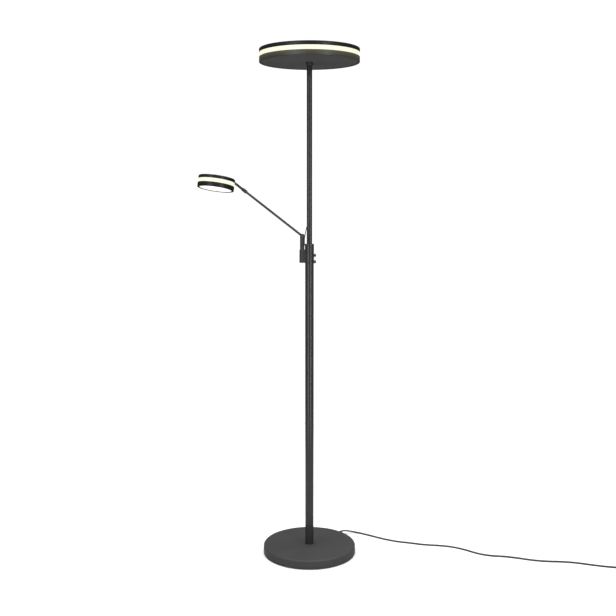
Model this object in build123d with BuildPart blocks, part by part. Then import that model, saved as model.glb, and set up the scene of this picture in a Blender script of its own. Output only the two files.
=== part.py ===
"""Torchiere floor lamp with a reading arm: uplighter head on a two-stage pole, weighted base,
swivelling reading lamp, two rotary dimmers and a mains cord.

Frame: millimetres, +Z up, origin on the floor on the pole's axis. +X is the side of the dimmer
knobs, -X the side of the reading arm, and the front of the lamp faces -Y.
"""

import os
from math import cos, pi, radians, sin, tan

from build123d import *

# ---------------------------------------------------------------- driving dimensions
lamp_height = 1800.0

# base
base_radius = 167.5
base_height = 32.0
cover_wall = 1.5
cover_edge_radius = 5.0
cover_floor_gap = 1.0
pad_radius = 161.0
pad_thickness = 2.0
weight_radius = 165.4
weight_top = 12.5
boss_radius = 32.0
pole_seat_height = 16.0
cover_stud_circle = 118.0
cover_stud_radius = 5.0
cover_stud_start = 15.0
cover_screw_radius = 2.0
cover_screw_head = 3.6
pole_screw_circle = 8.5
pole_screw_radius = 2.5
pole_screw_head = 4.0
screw_recess = 0.2
gland_flange_radius = 7.0
gland_neck_radius = 4.95
gland_collar_radius = 6.5

# pole
lower_pole_radius = 15.25
lower_pole_wall = 1.5
upper_pole_radius = 9.5
upper_pole_wall = 1.2
housing_radius = 16.0
housing_wall = 1.8
housing_bottom = 1062.0
housing_top = 1127.5
housing_spigot = 25.0
spigot_wall = 0.9
cap_top = 1130.5
cap_depth = 24.0
upper_pole_bottom = 1104.0
upper_pole_top = 1752.0
grub_radius = 2.0
grub_angles = (100.0, 165.0)
bracket_screw_radius = 2.0
bracket_screw_heights = (1074.0, 1100.0)

# dimmers
head_dimmer_height = 1090.0
reading_dimmer_height = 1067.5
knob_base_radius = 6.6
knob_tip_radius = 4.3
knob_start = 17.0
knob_end = 23.4
dimmer_shaft_radius = 2.0
dimmer_bush_radius = 3.5
dimmer_body_radius = 7.5
board_bottom = 1050.0
board_top_edge = 1101.0
board_back = 1.4
board_front = 3.0
pot_front = 11.0

# uplighter head
head_radius = 173.8
head_wall = 2.2
lower_ring_height = 17.3
band_height = 14.5
top_ring_height = 13.6
lip_width = 7.3
hub_radius = 11.5
hub_bottom = 1744.5
hub_bore = 3.4
nose_radius = 5.0
nose_top = 1766.5
spigot_bottom = 1733.0
spacer_circle = 138.0
driver_start = 22.0
driver_length = 92.0
driver_width = 42.0
driver_height = 20.0
skirt_inner = 158.5
skirt_outer = 160.0
led_length = 3.5
led_width = 2.8
led_height = 0.8

# reading arm
post_offset = 25.6
post_radius = 7.75
post_spigot_radius = 4.5
bracket_radius = 9.9
bracket_bottom = 1064.0
bracket_top = 1110.0
bush_radius = 6.0
hinge_height = 1158.2
fork_slot = 6.2
arm_azimuth = 200.0
arm_rise = 36.9
arm_length = 267.5
arm_radius = 4.0
arm_bore = 3.1
arm_pin_radius = 2.5
ferrule_radius = 6.0
ferrule_back = 14.0
knuckle_slot = 4.2
tilt_screw_radius = 1.75
knuckle_eye_radius = 3.3
journal_radius = 2.5
groove_depth = 0.8
peg_radius = 1.25
pin_face = 5.0
eye_radius = 6.0
eye_thickness = 5.0
lead_bore = 1.9
retainer_height = 1080.0
retainer_radius = 2.0
head_twist = 6.0
running_gap = 0.05

# reading head
reading_radius = 62.0
reading_wall = 2.0
reading_lower_height = 14.8
reading_band_height = 12.9
reading_top_height = 11.3
stem_length = 40.8
stem_radius = 4.2
stem_drop = 5.0
stem_screw_radius = 1.5
disc_pitch = -27.0

# reading lead, from the pole cap to the swivel post
lead_radius = 1.5
lead_outlet = (-6.9, -9.7)
grommet_radius = 2.2

# mains cord
cord_radius = 3.0
cord_length = 1800.0
gland_azimuth = 52.0
gland_height = 16.0
gland_reach = 33.0
coil_centre = (1150.0, -123.5)
coil_mean_radius = 30.0
coil_section = 12.0
coil_height = 12.0
coil_lift = 1.1
plug_length = 34.0
plug_width = 35.0
plug_thickness = 13.7
plug_pin_radius = 2.0
plug_pin_length = 19.0
plug_pin_spacing = 18.6

os.makedirs("parts", exist_ok=True)
pieces = {}
UPRIGHT = (Align.CENTER, Align.CENTER, Align.MIN)


# ---------------------------------------------------------------- helpers
def turned(outline, section=Plane.XZ, axis=Axis.Z):
    """Revolve a closed (radius, height) outline drawn on a section plane, in the part in progress."""
    with BuildSketch(section) as profile:
        with BuildLine():
            Polyline(*outline, close=True)
        make_face()
    revolve(profile.sketch, axis=axis)


def ring_outline(inner, outer, low, high):
    """The rectangle of a plain ring, as (radius, height) corners."""
    return [(inner, low), (outer, low), (outer, high), (inner, high)]


def rod(plane, radius, start, length, mode=Mode.ADD):
    """A round bar along a plane's normal, from a start distance, in the part in progress."""
    with BuildSketch(plane.offset(start)) as profile:
        Circle(radius)
    extrude(profile.sketch, amount=length, mode=mode)


def corner_radii(points):
    """For each inner point of a route, 0.45 of its shorter run over the tangent of half its turn."""
    radii = []
    for before, here, after in zip(points, points[1:], points[2:]):
        run_in = Vector(*here) - Vector(*before)
        run_out = Vector(*after) - Vector(*here)
        half_turn = radians(run_in.get_angle(run_out) / 2)
        radii.append(0.45 * min(run_in.length, run_out.length) / tan(half_turn))
    return radii


def tube_along(name, points, radius):
    """Build a round cord of straight runs joined by tangent arcs, and print how it came out."""
    radii = corner_radii(points)
    with BuildPart() as tube:
        with BuildLine() as route:
            FilletPolyline(*points, radius=radii)
        with BuildSketch(Plane(origin=route.line @ 0, z_dir=route.line % 0)):
            Circle(radius)
        sweep()
    length = route.wire().length
    ideal = pi * radius**2 * length
    listed = ", ".join(f"{r:.0f}" for r in radii)
    print(f"{name}: length {length:.1f}, volume over section times length {tube.part.volume / ideal:.4f}")
    print(f"{name}: arc radii {listed}")
    return tube, length


def across(height):
    """The plane at a height whose normal is +X and whose origin is on the pole's axis."""
    return Plane(origin=(0, 0, height), x_dir=(0, 1, 0), z_dir=(1, 0, 0))


def toward(azimuth, radius, height):
    """The point at a radius from the pole's axis, in a direction in degrees from +X."""
    return (radius * cos(radians(azimuth)), radius * sin(radians(azimuth)), height)


# ---------------------------------------------------------------- base
with BuildPart() as base_pad:
    turned(ring_outline(0, pad_radius, 0, pad_thickness))
pieces["base_pad"] = base_pad

with BuildPart() as base_cover:
    turned(ring_outline(0, base_radius, cover_floor_gap, base_height))
    fillet(base_cover.edges().group_by(Axis.Z)[-1], cover_edge_radius)
    inner_radius = base_radius - cover_wall
    inner_top = base_height - cover_wall
    with BuildSketch(Plane.XZ):
        with BuildLine():
            Polyline((0, 0), (inner_radius, 0), (inner_radius, inner_top - cover_edge_radius + cover_wall))
            RadiusArc(
                (inner_radius, inner_top - cover_edge_radius + cover_wall),
                (inner_radius - cover_edge_radius + cover_wall, inner_top),
                -(cover_edge_radius - cover_wall),
            )
            Polyline((inner_radius - cover_edge_radius + cover_wall, inner_top), (0, inner_top), (0, 0))
        make_face()
    revolve(axis=Axis.Z, mode=Mode.SUBTRACT)
    rod(Plane.XY, lower_pole_radius + 0.1, base_height - 5, 10, Mode.SUBTRACT)
    gland_axis = Plane(
        origin=(0, 0, gland_height), x_dir=(0, 0, 1), z_dir=toward(gland_azimuth, 1, 0)
    )
    rod(gland_axis, gland_neck_radius + 0.05, base_radius - 8, 12, Mode.SUBTRACT)
    with PolarLocations(cover_stud_circle, 4, start_angle=cover_stud_start):
        with Locations((0, 0, weight_top)):
            Cylinder(cover_stud_radius, base_height - cover_wall / 2 - weight_top, align=UPRIGHT)
            Cylinder(cover_screw_radius, 12, align=UPRIGHT, mode=Mode.SUBTRACT)
pieces["base_cover"] = base_cover

wire_slot_floor = 9.5
wire_slot_length = 66.0
pole_screw_angles = [gland_azimuth + turn for turn in (60, 180, 300)]
with BuildPart() as base_weight:
    turned(ring_outline(0, weight_radius, pad_thickness, weight_top))
    turned(ring_outline(0, boss_radius, weight_top - 1, base_height - cover_wall))
    rod(Plane.XY, lower_pole_radius, pole_seat_height, 20, Mode.SUBTRACT)
    with BuildSketch(Plane.XY.offset(wire_slot_floor)):
        with Locations(Location(toward(gland_azimuth, wire_slot_length / 2 - 4, 0), (0, 0, gland_azimuth))):
            Rectangle(wire_slot_length, 8)
    extrude(amount=12, mode=Mode.SUBTRACT)
    rod(gland_axis, gland_flange_radius + 0.6, base_radius - 8, 10, Mode.SUBTRACT)
    with Locations(*[toward(angle, pole_screw_circle, pad_thickness) for angle in pole_screw_angles]):
        Cylinder(pole_screw_radius + 0.1, 30, align=UPRIGHT, mode=Mode.SUBTRACT)
        Cylinder(pole_screw_head + 0.2, 4.5, align=UPRIGHT, mode=Mode.SUBTRACT)
    with PolarLocations(cover_stud_circle, 4, start_angle=cover_stud_start):
        Cylinder(cover_screw_radius + 0.1, 30, mode=Mode.SUBTRACT)
        with Locations((0, 0, pad_thickness)):
            Cylinder(cover_screw_head + 0.4, 3.0, align=UPRIGHT, mode=Mode.SUBTRACT)
pieces["base_weight"] = base_weight

plug_top = pole_seat_height + 30
plug_bore = 5.2
pole_inner = lower_pole_radius - lower_pole_wall
with BuildPart() as foot_plug:
    turned(ring_outline(plug_bore, pole_inner, pole_seat_height, plug_top))
    with Locations(*[toward(angle, pole_screw_circle, pole_seat_height) for angle in pole_screw_angles]):
        Cylinder(pole_screw_radius, 18, align=UPRIGHT, mode=Mode.SUBTRACT)
pieces["foot_plug"] = foot_plug

screw_seat = pad_thickness + screw_recess
with BuildPart() as base_screws:
    with Locations(*[toward(angle, pole_screw_circle, screw_seat) for angle in pole_screw_angles]):
        Cylinder(pole_screw_head, 4.0, align=UPRIGHT)
        Cylinder(pole_screw_radius, 29.0, align=UPRIGHT)
    with PolarLocations(cover_stud_circle, 4, start_angle=cover_stud_start):
        with Locations((0, 0, screw_seat)):
            Cylinder(cover_screw_head, 2.6, align=UPRIGHT)
            Cylinder(cover_screw_radius, 20.0, align=UPRIGHT)
pieces["base_screws"] = base_screws

gland_shoulder = base_radius - cover_wall - 0.3
gland_inner = gland_shoulder - 2.5
gland_tip = base_radius + gland_reach
with BuildPart() as cord_gland:
    turned(
        [
            (cord_radius, gland_inner),
            (gland_flange_radius, gland_inner),
            (gland_flange_radius, gland_shoulder),
            (gland_neck_radius, gland_shoulder),
            (gland_neck_radius, base_radius + 0.2),
            (gland_collar_radius, base_radius + 0.2),
            (gland_collar_radius, base_radius + 3.0),
            (5.2, base_radius + 4.5),
            (3.9, gland_tip),
            (cord_radius, gland_tip),
        ],
        Plane(
            origin=(0, 0, gland_height),
            x_dir=(0, 0, 1),
            z_dir=Vector(*toward(gland_azimuth, 1, 0)).cross(Vector(0, 0, 1)) * -1,
        ),
        Axis((0, 0, gland_height), toward(gland_azimuth, 1, 0)),
    )
pieces["cord_gland"] = cord_gland

clamp_distance = 138.0
clamp_width = 12.0
inner_lead_radius = 2.5
clamp_plane = Plane(
    origin=toward(gland_azimuth, clamp_distance, weight_top),
    x_dir=toward(gland_azimuth, 1, 0),
    z_dir=(0, 0, 1),
)
with BuildPart() as cord_clamp:
    with BuildSketch(clamp_plane):
        RectangleRounded(clamp_width, 30, 2)
    extrude(amount=3.0)
    with BuildSketch(clamp_plane):
        Rectangle(clamp_width, 10)
    extrude(amount=9.0)
    rod(gland_axis, inner_lead_radius, clamp_distance - 10, 20, Mode.SUBTRACT)
pieces["cord_clamp"] = cord_clamp

# ---------------------------------------------------------------- pole
with BuildPart() as lower_pole:
    turned(ring_outline(pole_inner, lower_pole_radius, pole_seat_height, housing_bottom))
pieces["lower_pole"] = lower_pole

housing_bore = housing_radius - housing_wall
grub_height = housing_top - 11
dimmer_heights = (head_dimmer_height, reading_dimmer_height)
with BuildPart() as dimmer_housing:
    turned(
        [
            (pole_inner - spigot_wall, housing_bottom - housing_spigot),
            (pole_inner, housing_bottom - housing_spigot),
            (pole_inner, housing_bottom),
            (housing_radius, housing_bottom),
            (housing_radius, housing_top),
            (housing_bore, housing_top),
            (housing_bore, housing_bottom + 1.5),
            (pole_inner - spigot_wall, housing_bottom + 1.5),
        ]
    )
    for height in dimmer_heights:
        rod(across(height), dimmer_bush_radius, 8, 12, Mode.SUBTRACT)
    for height in bracket_screw_heights:
        rod(across(height), bracket_screw_radius, -18, 8, Mode.SUBTRACT)
    for angle in grub_angles:
        grub_plane = Plane(origin=(0, 0, grub_height), z_dir=toward(angle, 1, 0))
        rod(grub_plane, grub_radius, 10, 10, Mode.SUBTRACT)
pieces["dimmer_housing"] = dimmer_housing

with BuildPart() as pole_cap:
    turned(
        [
            (upper_pole_radius, housing_top - cap_depth),
            (housing_bore, housing_top - cap_depth),
            (housing_bore, housing_top),
            (housing_radius, housing_top),
            (housing_radius, cap_top - 1.0),
            (housing_radius - 1.0, cap_top),
            (upper_pole_radius, cap_top),
        ]
    )
    with Locations((lead_outlet[0], lead_outlet[1], housing_top - cap_depth)):
        Cylinder(2.9, cap_depth - 2, align=UPRIGHT, mode=Mode.SUBTRACT)
        Cylinder(grommet_radius, 40, align=UPRIGHT, mode=Mode.SUBTRACT)
    for angle in grub_angles:
        grub_plane = Plane(origin=(0, 0, grub_height), z_dir=toward(angle, 1, 0))
        rod(grub_plane, grub_radius, 9, 8, Mode.SUBTRACT)
pieces["pole_cap"] = pole_cap

with BuildPart() as pole_grub_screws:
    for angle in grub_angles:
        grub_plane = Plane(origin=(0, 0, grub_height), z_dir=toward(angle, 1, 0))
        rod(grub_plane, grub_radius, upper_pole_radius, housing_radius - upper_pole_radius - 0.4)
        rod(grub_plane, grub_radius / 2, housing_radius - 2.0, 2.0, Mode.SUBTRACT)
pieces["pole_grub_screws"] = pole_grub_screws

upper_bore = upper_pole_radius - upper_pole_wall
with BuildPart() as upper_pole:
    turned(ring_outline(upper_bore, upper_pole_radius, upper_pole_bottom, upper_pole_top))
pieces["upper_pole"] = upper_pole

with BuildPart() as lead_grommet:
    turned(
        [
            (lead_radius, cap_top - 3.0),
            (grommet_radius, cap_top - 3.0),
            (grommet_radius, cap_top),
            (grommet_radius + 0.15, cap_top),
            (grommet_radius - 0.1, cap_top + 1.0),
            (lead_radius, cap_top + 1.0),
        ],
        Plane(origin=(lead_outlet[0], lead_outlet[1], 0), x_dir=(1, 0, 0), z_dir=(0, -1, 0)),
        Axis((lead_outlet[0], lead_outlet[1], 0), (0, 0, 1)),
    )
pieces["lead_grommet"] = lead_grommet

# ---------------------------------------------------------------- dimmers
with BuildPart() as dimmer_board:
    with BuildSketch(Plane.YZ.offset(board_back)):
        with Locations((0, (board_bottom + board_top_edge) / 2)):
            RectangleRounded(20, board_top_edge - board_bottom, 1)
    extrude(amount=board_front - board_back)
pieces["dimmer_board"] = dimmer_board

with BuildPart() as dimmer_bodies:
    for height in dimmer_heights:
        rod(across(height), dimmer_body_radius, board_front, pot_front - board_front)
        rod(across(height), dimmer_bush_radius, pot_front, 5.6)
        rod(across(height), dimmer_shaft_radius + running_gap, board_front + 2, 20, Mode.SUBTRACT)
pieces["dimmer_bodies"] = dimmer_bodies


def dimmer_knob(height):
    """A slightly conical knob with a fluted grip and a shallow dish in its end."""
    with BuildPart() as knob:
        turned(
            [
                (0, knob_start),
                (knob_base_radius, knob_start),
                (knob_base_radius, knob_start + 1.2),
                (knob_tip_radius, knob_end - 0.6),
                (knob_tip_radius - 0.6, knob_end),
                (0, knob_end),
            ],
            Plane(origin=(0, 0, height), x_dir=(0, 0, 1), z_dir=(0, 1, 0)),
            Axis((0, 0, height), (1, 0, 0)),
        )
        rod(across(height), dimmer_shaft_radius, knob_start, knob_end - knob_start - 1.5, Mode.SUBTRACT)
        rod(across(height), knob_tip_radius - 1.4, knob_end - 0.4, 1.0, Mode.SUBTRACT)
    return knob


def dimmer_shaft(height):
    """The turning spindle of one dimmer, from inside its body to inside its knob."""
    with BuildPart() as shaft:
        rod(across(height), dimmer_shaft_radius, board_front + 2.5, knob_end - 4.0 - board_front)
    return shaft


pieces["head_dimmer_knob"] = dimmer_knob(head_dimmer_height)
pieces["head_dimmer_shaft"] = dimmer_shaft(head_dimmer_height)
pieces["reading_dimmer_knob"] = dimmer_knob(reading_dimmer_height)
pieces["reading_dimmer_shaft"] = dimmer_shaft(reading_dimmer_height)

# ---------------------------------------------------------------- inner wiring
slot_lane = wire_slot_floor + inner_lead_radius + 0.8
inner_mains_points = [
    toward(gland_azimuth, gland_inner, gland_height),
    toward(gland_azimuth, 60, gland_height),
    toward(gland_azimuth, 36, slot_lane),
    (0, 0, slot_lane),
    (0, 0, board_bottom),
]
with BuildPart() as inner_mains_lead:
    with BuildLine() as inner_route:
        FilletPolyline(*inner_mains_points, radius=[20, 20, 8])
    with BuildSketch(Plane(origin=inner_route.line @ 0, z_dir=inner_route.line % 0)):
        Circle(inner_lead_radius)
    sweep()
pieces["inner_mains_lead"] = inner_mains_lead

feed_height = 1772.0
with BuildPart() as head_feed_lead:
    with BuildLine() as feed_route:
        FilletPolyline(
            (0, 0, board_top_edge),
            (0, 0, feed_height),
            (driver_start, 0, feed_height),
            radius=[8],
        )
    with BuildSketch(Plane(origin=feed_route.line @ 0, z_dir=feed_route.line % 0)):
        Circle(2.2)
    sweep()
pieces["head_feed_lead"] = head_feed_lead

# ---------------------------------------------------------------- uplighter head
head_bottom = lamp_height - lower_ring_height - band_height - top_ring_height
band_bottom = head_bottom + lower_ring_height
band_top = band_bottom + band_height
head_inner = head_radius - head_wall
plate_bottom = head_bottom + 1.8
plate_top = plate_bottom + 1.0
tray_bottom = band_top - 2.4
tray_top = tray_bottom + 1.5

with BuildPart() as head_lower_ring:
    turned(
        [
            (head_radius - lip_width, head_bottom),
            (head_radius - 1.0, head_bottom),
            (head_radius, head_bottom + 1.0),
            (head_radius, band_bottom),
            (head_inner, band_bottom),
            (head_inner, plate_bottom),
            (head_radius - lip_width, plate_bottom),
        ]
    )
pieces["head_lower_ring"] = head_lower_ring

with BuildPart() as head_bottom_plate:
    turned(ring_outline(nose_radius + 0.1, head_inner, plate_bottom, plate_top))
pieces["head_bottom_plate"] = head_bottom_plate

with BuildPart() as light_band:
    turned(ring_outline(head_radius - 3.4, head_radius - 0.2, band_bottom, band_top))
pieces["light_band"] = light_band

with BuildPart() as head_top_ring:
    turned(
        [
            (head_inner, band_top),
            (head_radius, band_top),
            (head_radius, lamp_height - 1.2),
            (head_radius - 1.2, lamp_height),
            (head_radius - lip_width, lamp_height),
            (head_radius - lip_width, lamp_height - 1.6),
            (head_inner, lamp_height - 1.6),
        ]
    )
pieces["head_top_ring"] = head_top_ring

with BuildPart() as top_diffuser:
    turned(ring_outline(0, head_inner, lamp_height - 3.8, lamp_height - 1.6))
pieces["top_diffuser"] = top_diffuser

tray_radius = head_radius - 5.0
with BuildPart() as led_tray:
    turned(
        [
            (0, tray_bottom),
            (skirt_inner, tray_bottom),
            (skirt_inner, band_bottom + 1.0),
            (skirt_outer, band_bottom + 1.0),
            (skirt_outer, tray_bottom),
            (tray_radius, tray_bottom),
            (tray_radius, tray_top),
            (0, tray_top),
        ]
    )
pieces["led_tray"] = led_tray

board_top = tray_top + 1.6
with BuildPart() as top_led_board:
    turned(ring_outline(55, 150, tray_top, board_top))
    for circle, count in ((75.0, 16), (105.0, 24), (135.0, 32)):
        with Locations((0, 0, board_top)):
            with PolarLocations(circle, count):
                Box(led_length, led_width, led_height, align=UPRIGHT)
pieces["top_led_board"] = top_led_board

with BuildPart() as edge_led_strip:
    turned(ring_outline(skirt_outer, skirt_outer + 0.8, band_bottom + 2.0, tray_bottom - 1.0))
pieces["edge_led_strip"] = edge_led_strip

with BuildPart() as head_spacers:
    with Locations((0, 0, plate_top)):
        with PolarLocations(spacer_circle, 6, start_angle=30):
            Cylinder(4.0, tray_bottom - plate_top, align=UPRIGHT)
pieces["head_spacers"] = head_spacers

with BuildPart() as head_driver:
    with BuildSketch(Plane.XY.offset(plate_top)):
        with Locations((driver_start + driver_length / 2, 0)):
            RectangleRounded(driver_length, driver_width, 3)
    extrude(amount=driver_height)
pieces["head_driver"] = head_driver

with BuildPart() as head_hub:
    turned(
        [
            (hub_bore, spigot_bottom),
            (upper_bore, spigot_bottom),
            (upper_bore, upper_pole_top),
            (upper_pole_radius, upper_pole_top),
            (upper_pole_radius, hub_bottom),
            (hub_radius - 1.5, hub_bottom),
            (hub_radius, hub_bottom + 1.5),
            (hub_radius, plate_bottom),
            (nose_radius, plate_bottom),
            (nose_radius, nose_top),
            (hub_bore, nose_top),
        ]
    )
pieces["head_hub"] = head_hub

with BuildPart() as hub_nut:
    turned(ring_outline(nose_radius, 12.0, plate_top, plate_top + 1.5))
    with BuildSketch(Plane.XY.offset(plate_top + 1.5)):
        RegularPolygon(8.1, 6)
        Circle(nose_radius, mode=Mode.SUBTRACT)
    extrude(amount=5.0)
pieces["hub_nut"] = hub_nut

# ---------------------------------------------------------------- arm bracket and swivel post
post_axis = Plane(origin=(-post_offset, 0, 0), z_dir=(0, 0, 1))
washer_top = bracket_top + 1.2
post_shoulder = washer_top + 0.1
retainer_plane = Plane(origin=(-post_offset, 0, retainer_height), z_dir=(0, 1, 0))

bracket_screw_tip = -18.8
with BuildPart() as arm_bracket:
    with BuildSketch(Plane.XY.offset(bracket_bottom)):
        with Locations((-post_offset, 0)):
            Circle(bracket_radius)
        with Locations((-post_offset / 2 - 3, 0)):
            Rectangle(post_offset - 6, 2 * bracket_radius - 1.0)
    extrude(amount=bracket_top - bracket_bottom)
    fillet(arm_bracket.edges().group_by(Axis.Z)[0].sort_by(Axis.X)[:3], 4.0)
    rod(Plane.XY, housing_radius, bracket_bottom - 1, 60, Mode.SUBTRACT)
    rod(post_axis, bush_radius, bracket_bottom + 4, 60, Mode.SUBTRACT)
    rod(retainer_plane, retainer_radius, 0, 20, Mode.SUBTRACT)
    for height in bracket_screw_heights:
        rod(across(height), bracket_screw_radius, bracket_screw_tip, 8, Mode.SUBTRACT)
pieces["arm_bracket"] = arm_bracket

with BuildPart() as bracket_screws:
    for height in bracket_screw_heights:
        rod(across(height), bracket_screw_radius, bracket_screw_tip, 7.5)
        rod(across(height), bracket_screw_radius + 1.4, 0.5 - housing_bore, 2.4)
pieces["bracket_screws"] = bracket_screws

with BuildPart() as post_bush:
    turned(
        [
            (post_spigot_radius + running_gap, bracket_bottom + 4),
            (bush_radius, bracket_bottom + 4),
            (bush_radius, bracket_top),
            (post_radius, bracket_top),
            (post_radius, washer_top),
            (post_spigot_radius + running_gap, washer_top),
        ],
        Plane(origin=(-post_offset, 0, 0), x_dir=(1, 0, 0), z_dir=(0, -1, 0)),
        Axis((-post_offset, 0, 0), (0, 0, 1)),
    )
    rod(retainer_plane, retainer_radius, 0, 20, Mode.SUBTRACT)
pieces["post_bush"] = post_bush

with BuildPart() as post_retainer:
    rod(retainer_plane, retainer_radius, post_spigot_radius + 0.2, bracket_radius - post_spigot_radius - 1.0)
    rod(retainer_plane, retainer_radius - 0.4, post_spigot_radius - 0.9, 1.2)
pieces["post_retainer"] = post_retainer

arm_direction = Vector(
    cos(radians(arm_rise)) * cos(radians(arm_azimuth)),
    cos(radians(arm_rise)) * sin(radians(arm_azimuth)),
    sin(radians(arm_rise)),
)
hinge_axis = Vector(sin(radians(arm_azimuth)), -cos(radians(arm_azimuth)), 0)
hinge_point = Vector(-post_offset, 0, hinge_height)
hinge_plane = Plane(origin=hinge_point, x_dir=toward(arm_azimuth, 1, 0), z_dir=hinge_axis)
arm_plane = Plane(origin=hinge_point, x_dir=arm_direction, z_dir=hinge_axis)

slot_floor = 7.2
groove_reach = retainer_radius + 0.2
groove_floor = post_spigot_radius - 1.1
lead_entry_height = 1113.5
lead_entry_azimuth = radians(-35)
with BuildPart() as swivel_post:
    turned(
        [
            (0, bracket_bottom + 5),
            (post_spigot_radius - 0.5, bracket_bottom + 5),
            (post_spigot_radius, bracket_bottom + 5.5),
            (post_spigot_radius, retainer_height - groove_reach),
            (groove_floor, retainer_height - groove_reach),
            (groove_floor, retainer_height + groove_reach),
            (post_spigot_radius, retainer_height + groove_reach),
            (post_spigot_radius, post_shoulder),
            (post_radius, post_shoulder),
            (post_radius, hinge_height + post_radius),
            (0, hinge_height + post_radius),
        ],
        Plane(origin=(-post_offset, 0, 0), x_dir=(1, 0, 0), z_dir=(0, -1, 0)),
        Axis((-post_offset, 0, 0), (0, 0, 1)),
    )
    with BuildSketch(hinge_plane.offset(-post_radius - 1)):
        Circle(post_radius)
        with Locations((0, -55)):
            Rectangle(2 * post_radius + 2, 110)
    extrude(amount=2 * post_radius + 2, mode=Mode.INTERSECT)
    with BuildSketch(hinge_plane.offset(-fork_slot / 2)):
        with Locations((0, 10 - slot_floor)):
            Rectangle(2 * post_radius + 4, 20)
    extrude(amount=fork_slot, mode=Mode.SUBTRACT)
    rod(hinge_plane, arm_pin_radius, -post_radius - 1, 2 * post_radius + 2, Mode.SUBTRACT)
    lead_entry = Plane(
        origin=(-post_offset, 0, lead_entry_height),
        z_dir=(cos(lead_entry_azimuth), sin(lead_entry_azimuth), 1),
    )
    rod(lead_entry, lead_bore, 0, 16, Mode.SUBTRACT)
    rod(post_axis, lead_bore, lead_entry_height, 60, Mode.SUBTRACT)
pieces["swivel_post"] = swivel_post

with BuildPart() as hinge_pin:
    rod(hinge_plane, arm_pin_radius, -post_radius + 0.5, 2 * post_radius - 1.0)
pieces["hinge_pin"] = hinge_pin

hinge_washer = (fork_slot - eye_thickness) / 2 - running_gap
with BuildPart() as hinge_washers:
    for start in (-fork_slot / 2, fork_slot / 2 - hinge_washer):
        with BuildSketch(hinge_plane.offset(start)):
            Circle(eye_radius - 0.4)
            Circle(arm_pin_radius, mode=Mode.SUBTRACT)
        extrude(amount=hinge_washer)
pieces["hinge_washers"] = hinge_washers

# ---------------------------------------------------------------- reading arm
along_arm = Plane(origin=hinge_point, x_dir=hinge_axis, z_dir=arm_direction)
arm_start = 12.0
with BuildPart() as arm_eye:
    with BuildSketch(arm_plane.offset(-eye_thickness / 2)):
        Circle(eye_radius)
        with Locations((4.8, 0)):
            Rectangle(9.6, 2 * arm_radius - 0.4)
    extrude(amount=eye_thickness)
    rod(along_arm, arm_radius, 9.2, arm_start - 9.2)
    rod(along_arm, arm_bore, arm_start, 14.0)
    rod(arm_plane, arm_pin_radius + running_gap, -10, 20, Mode.SUBTRACT)
    rod(along_arm, 1.2, 6.0, 22.0, Mode.SUBTRACT)
pieces["arm_eye"] = arm_eye

arm_end = arm_length - ferrule_back - 2.0
with BuildPart() as arm_tube:
    with BuildSketch(along_arm.offset(arm_start)):
        Circle(arm_radius)
        Circle(arm_bore, mode=Mode.SUBTRACT)
    extrude(amount=arm_end - arm_start)
pieces["arm_tube"] = arm_tube

slot_start = arm_length - 6.5
groove_centre = (arm_end + 2.0 + slot_start) / 2
with BuildPart() as arm_stub:
    turned(
        [
            (0, arm_end - 18),
            (arm_bore, arm_end - 18),
            (arm_bore, arm_end),
            (arm_radius, arm_end),
            (arm_radius, arm_end + 1.9),
            (journal_radius, arm_end + 1.9),
            (journal_radius, groove_centre - 1.3),
            (journal_radius - groove_depth, groove_centre - 1.3),
            (journal_radius - groove_depth, groove_centre + 1.3),
            (journal_radius, groove_centre + 1.3),
            (journal_radius, slot_start - 0.4),
            (0, slot_start - 0.4),
        ],
        Plane(origin=hinge_point, x_dir=hinge_axis, z_dir=hinge_axis.cross(arm_direction)),
        Axis(hinge_point, arm_direction),
    )
    rod(along_arm, 0.9, arm_end - 20, 50, Mode.SUBTRACT)
pieces["arm_stub"] = arm_stub

# ---------------------------------------------------------------- knuckle
knuckle_point = hinge_point + arm_direction * arm_length
tilt_axis = hinge_axis.rotate(Axis((0, 0, 0), arm_direction), head_twist)
knuckle_plane = Plane(origin=knuckle_point, x_dir=arm_direction, z_dir=tilt_axis)
along_ferrule = Plane(origin=knuckle_point, x_dir=tilt_axis, z_dir=arm_direction)
across_ferrule = Plane(
    origin=hinge_point + arm_direction * groove_centre,
    x_dir=arm_direction,
    z_dir=tilt_axis.cross(arm_direction),
)

with BuildPart() as knuckle_fork:
    rod(along_ferrule, ferrule_radius, -ferrule_back, ferrule_back + ferrule_radius)
    with BuildSketch(knuckle_plane.offset(-ferrule_radius - 1)):
        Circle(ferrule_radius)
        with Locations((-15, 0)):
            Rectangle(30, 2 * ferrule_radius + 2)
    extrude(amount=2 * ferrule_radius + 2, mode=Mode.INTERSECT)
    with BuildSketch(knuckle_plane.offset(-knuckle_slot / 2)):
        with Locations((10 - 6.5, 0)):
            Rectangle(20, 2 * ferrule_radius + 4)
    extrude(amount=knuckle_slot, mode=Mode.SUBTRACT)
    rod(along_ferrule, journal_radius + running_gap, -ferrule_back - 1, 12, Mode.SUBTRACT)
    rod(knuckle_plane, tilt_screw_radius, -10, 20, Mode.SUBTRACT)
    rod(knuckle_plane, knuckle_eye_radius, -ferrule_radius - 1, ferrule_radius + 1 - pin_face, Mode.SUBTRACT)
    rod(knuckle_plane, knuckle_eye_radius, pin_face, ferrule_radius + 1 - pin_face, Mode.SUBTRACT)
    rod(across_ferrule, peg_radius, 0, 10, Mode.SUBTRACT)
pieces["knuckle_fork"] = knuckle_fork

with BuildPart() as knuckle_retainer:
    rod(across_ferrule, peg_radius, journal_radius - 0.6, ferrule_radius - journal_radius + 0.1)
pieces["knuckle_retainer"] = knuckle_retainer

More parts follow.
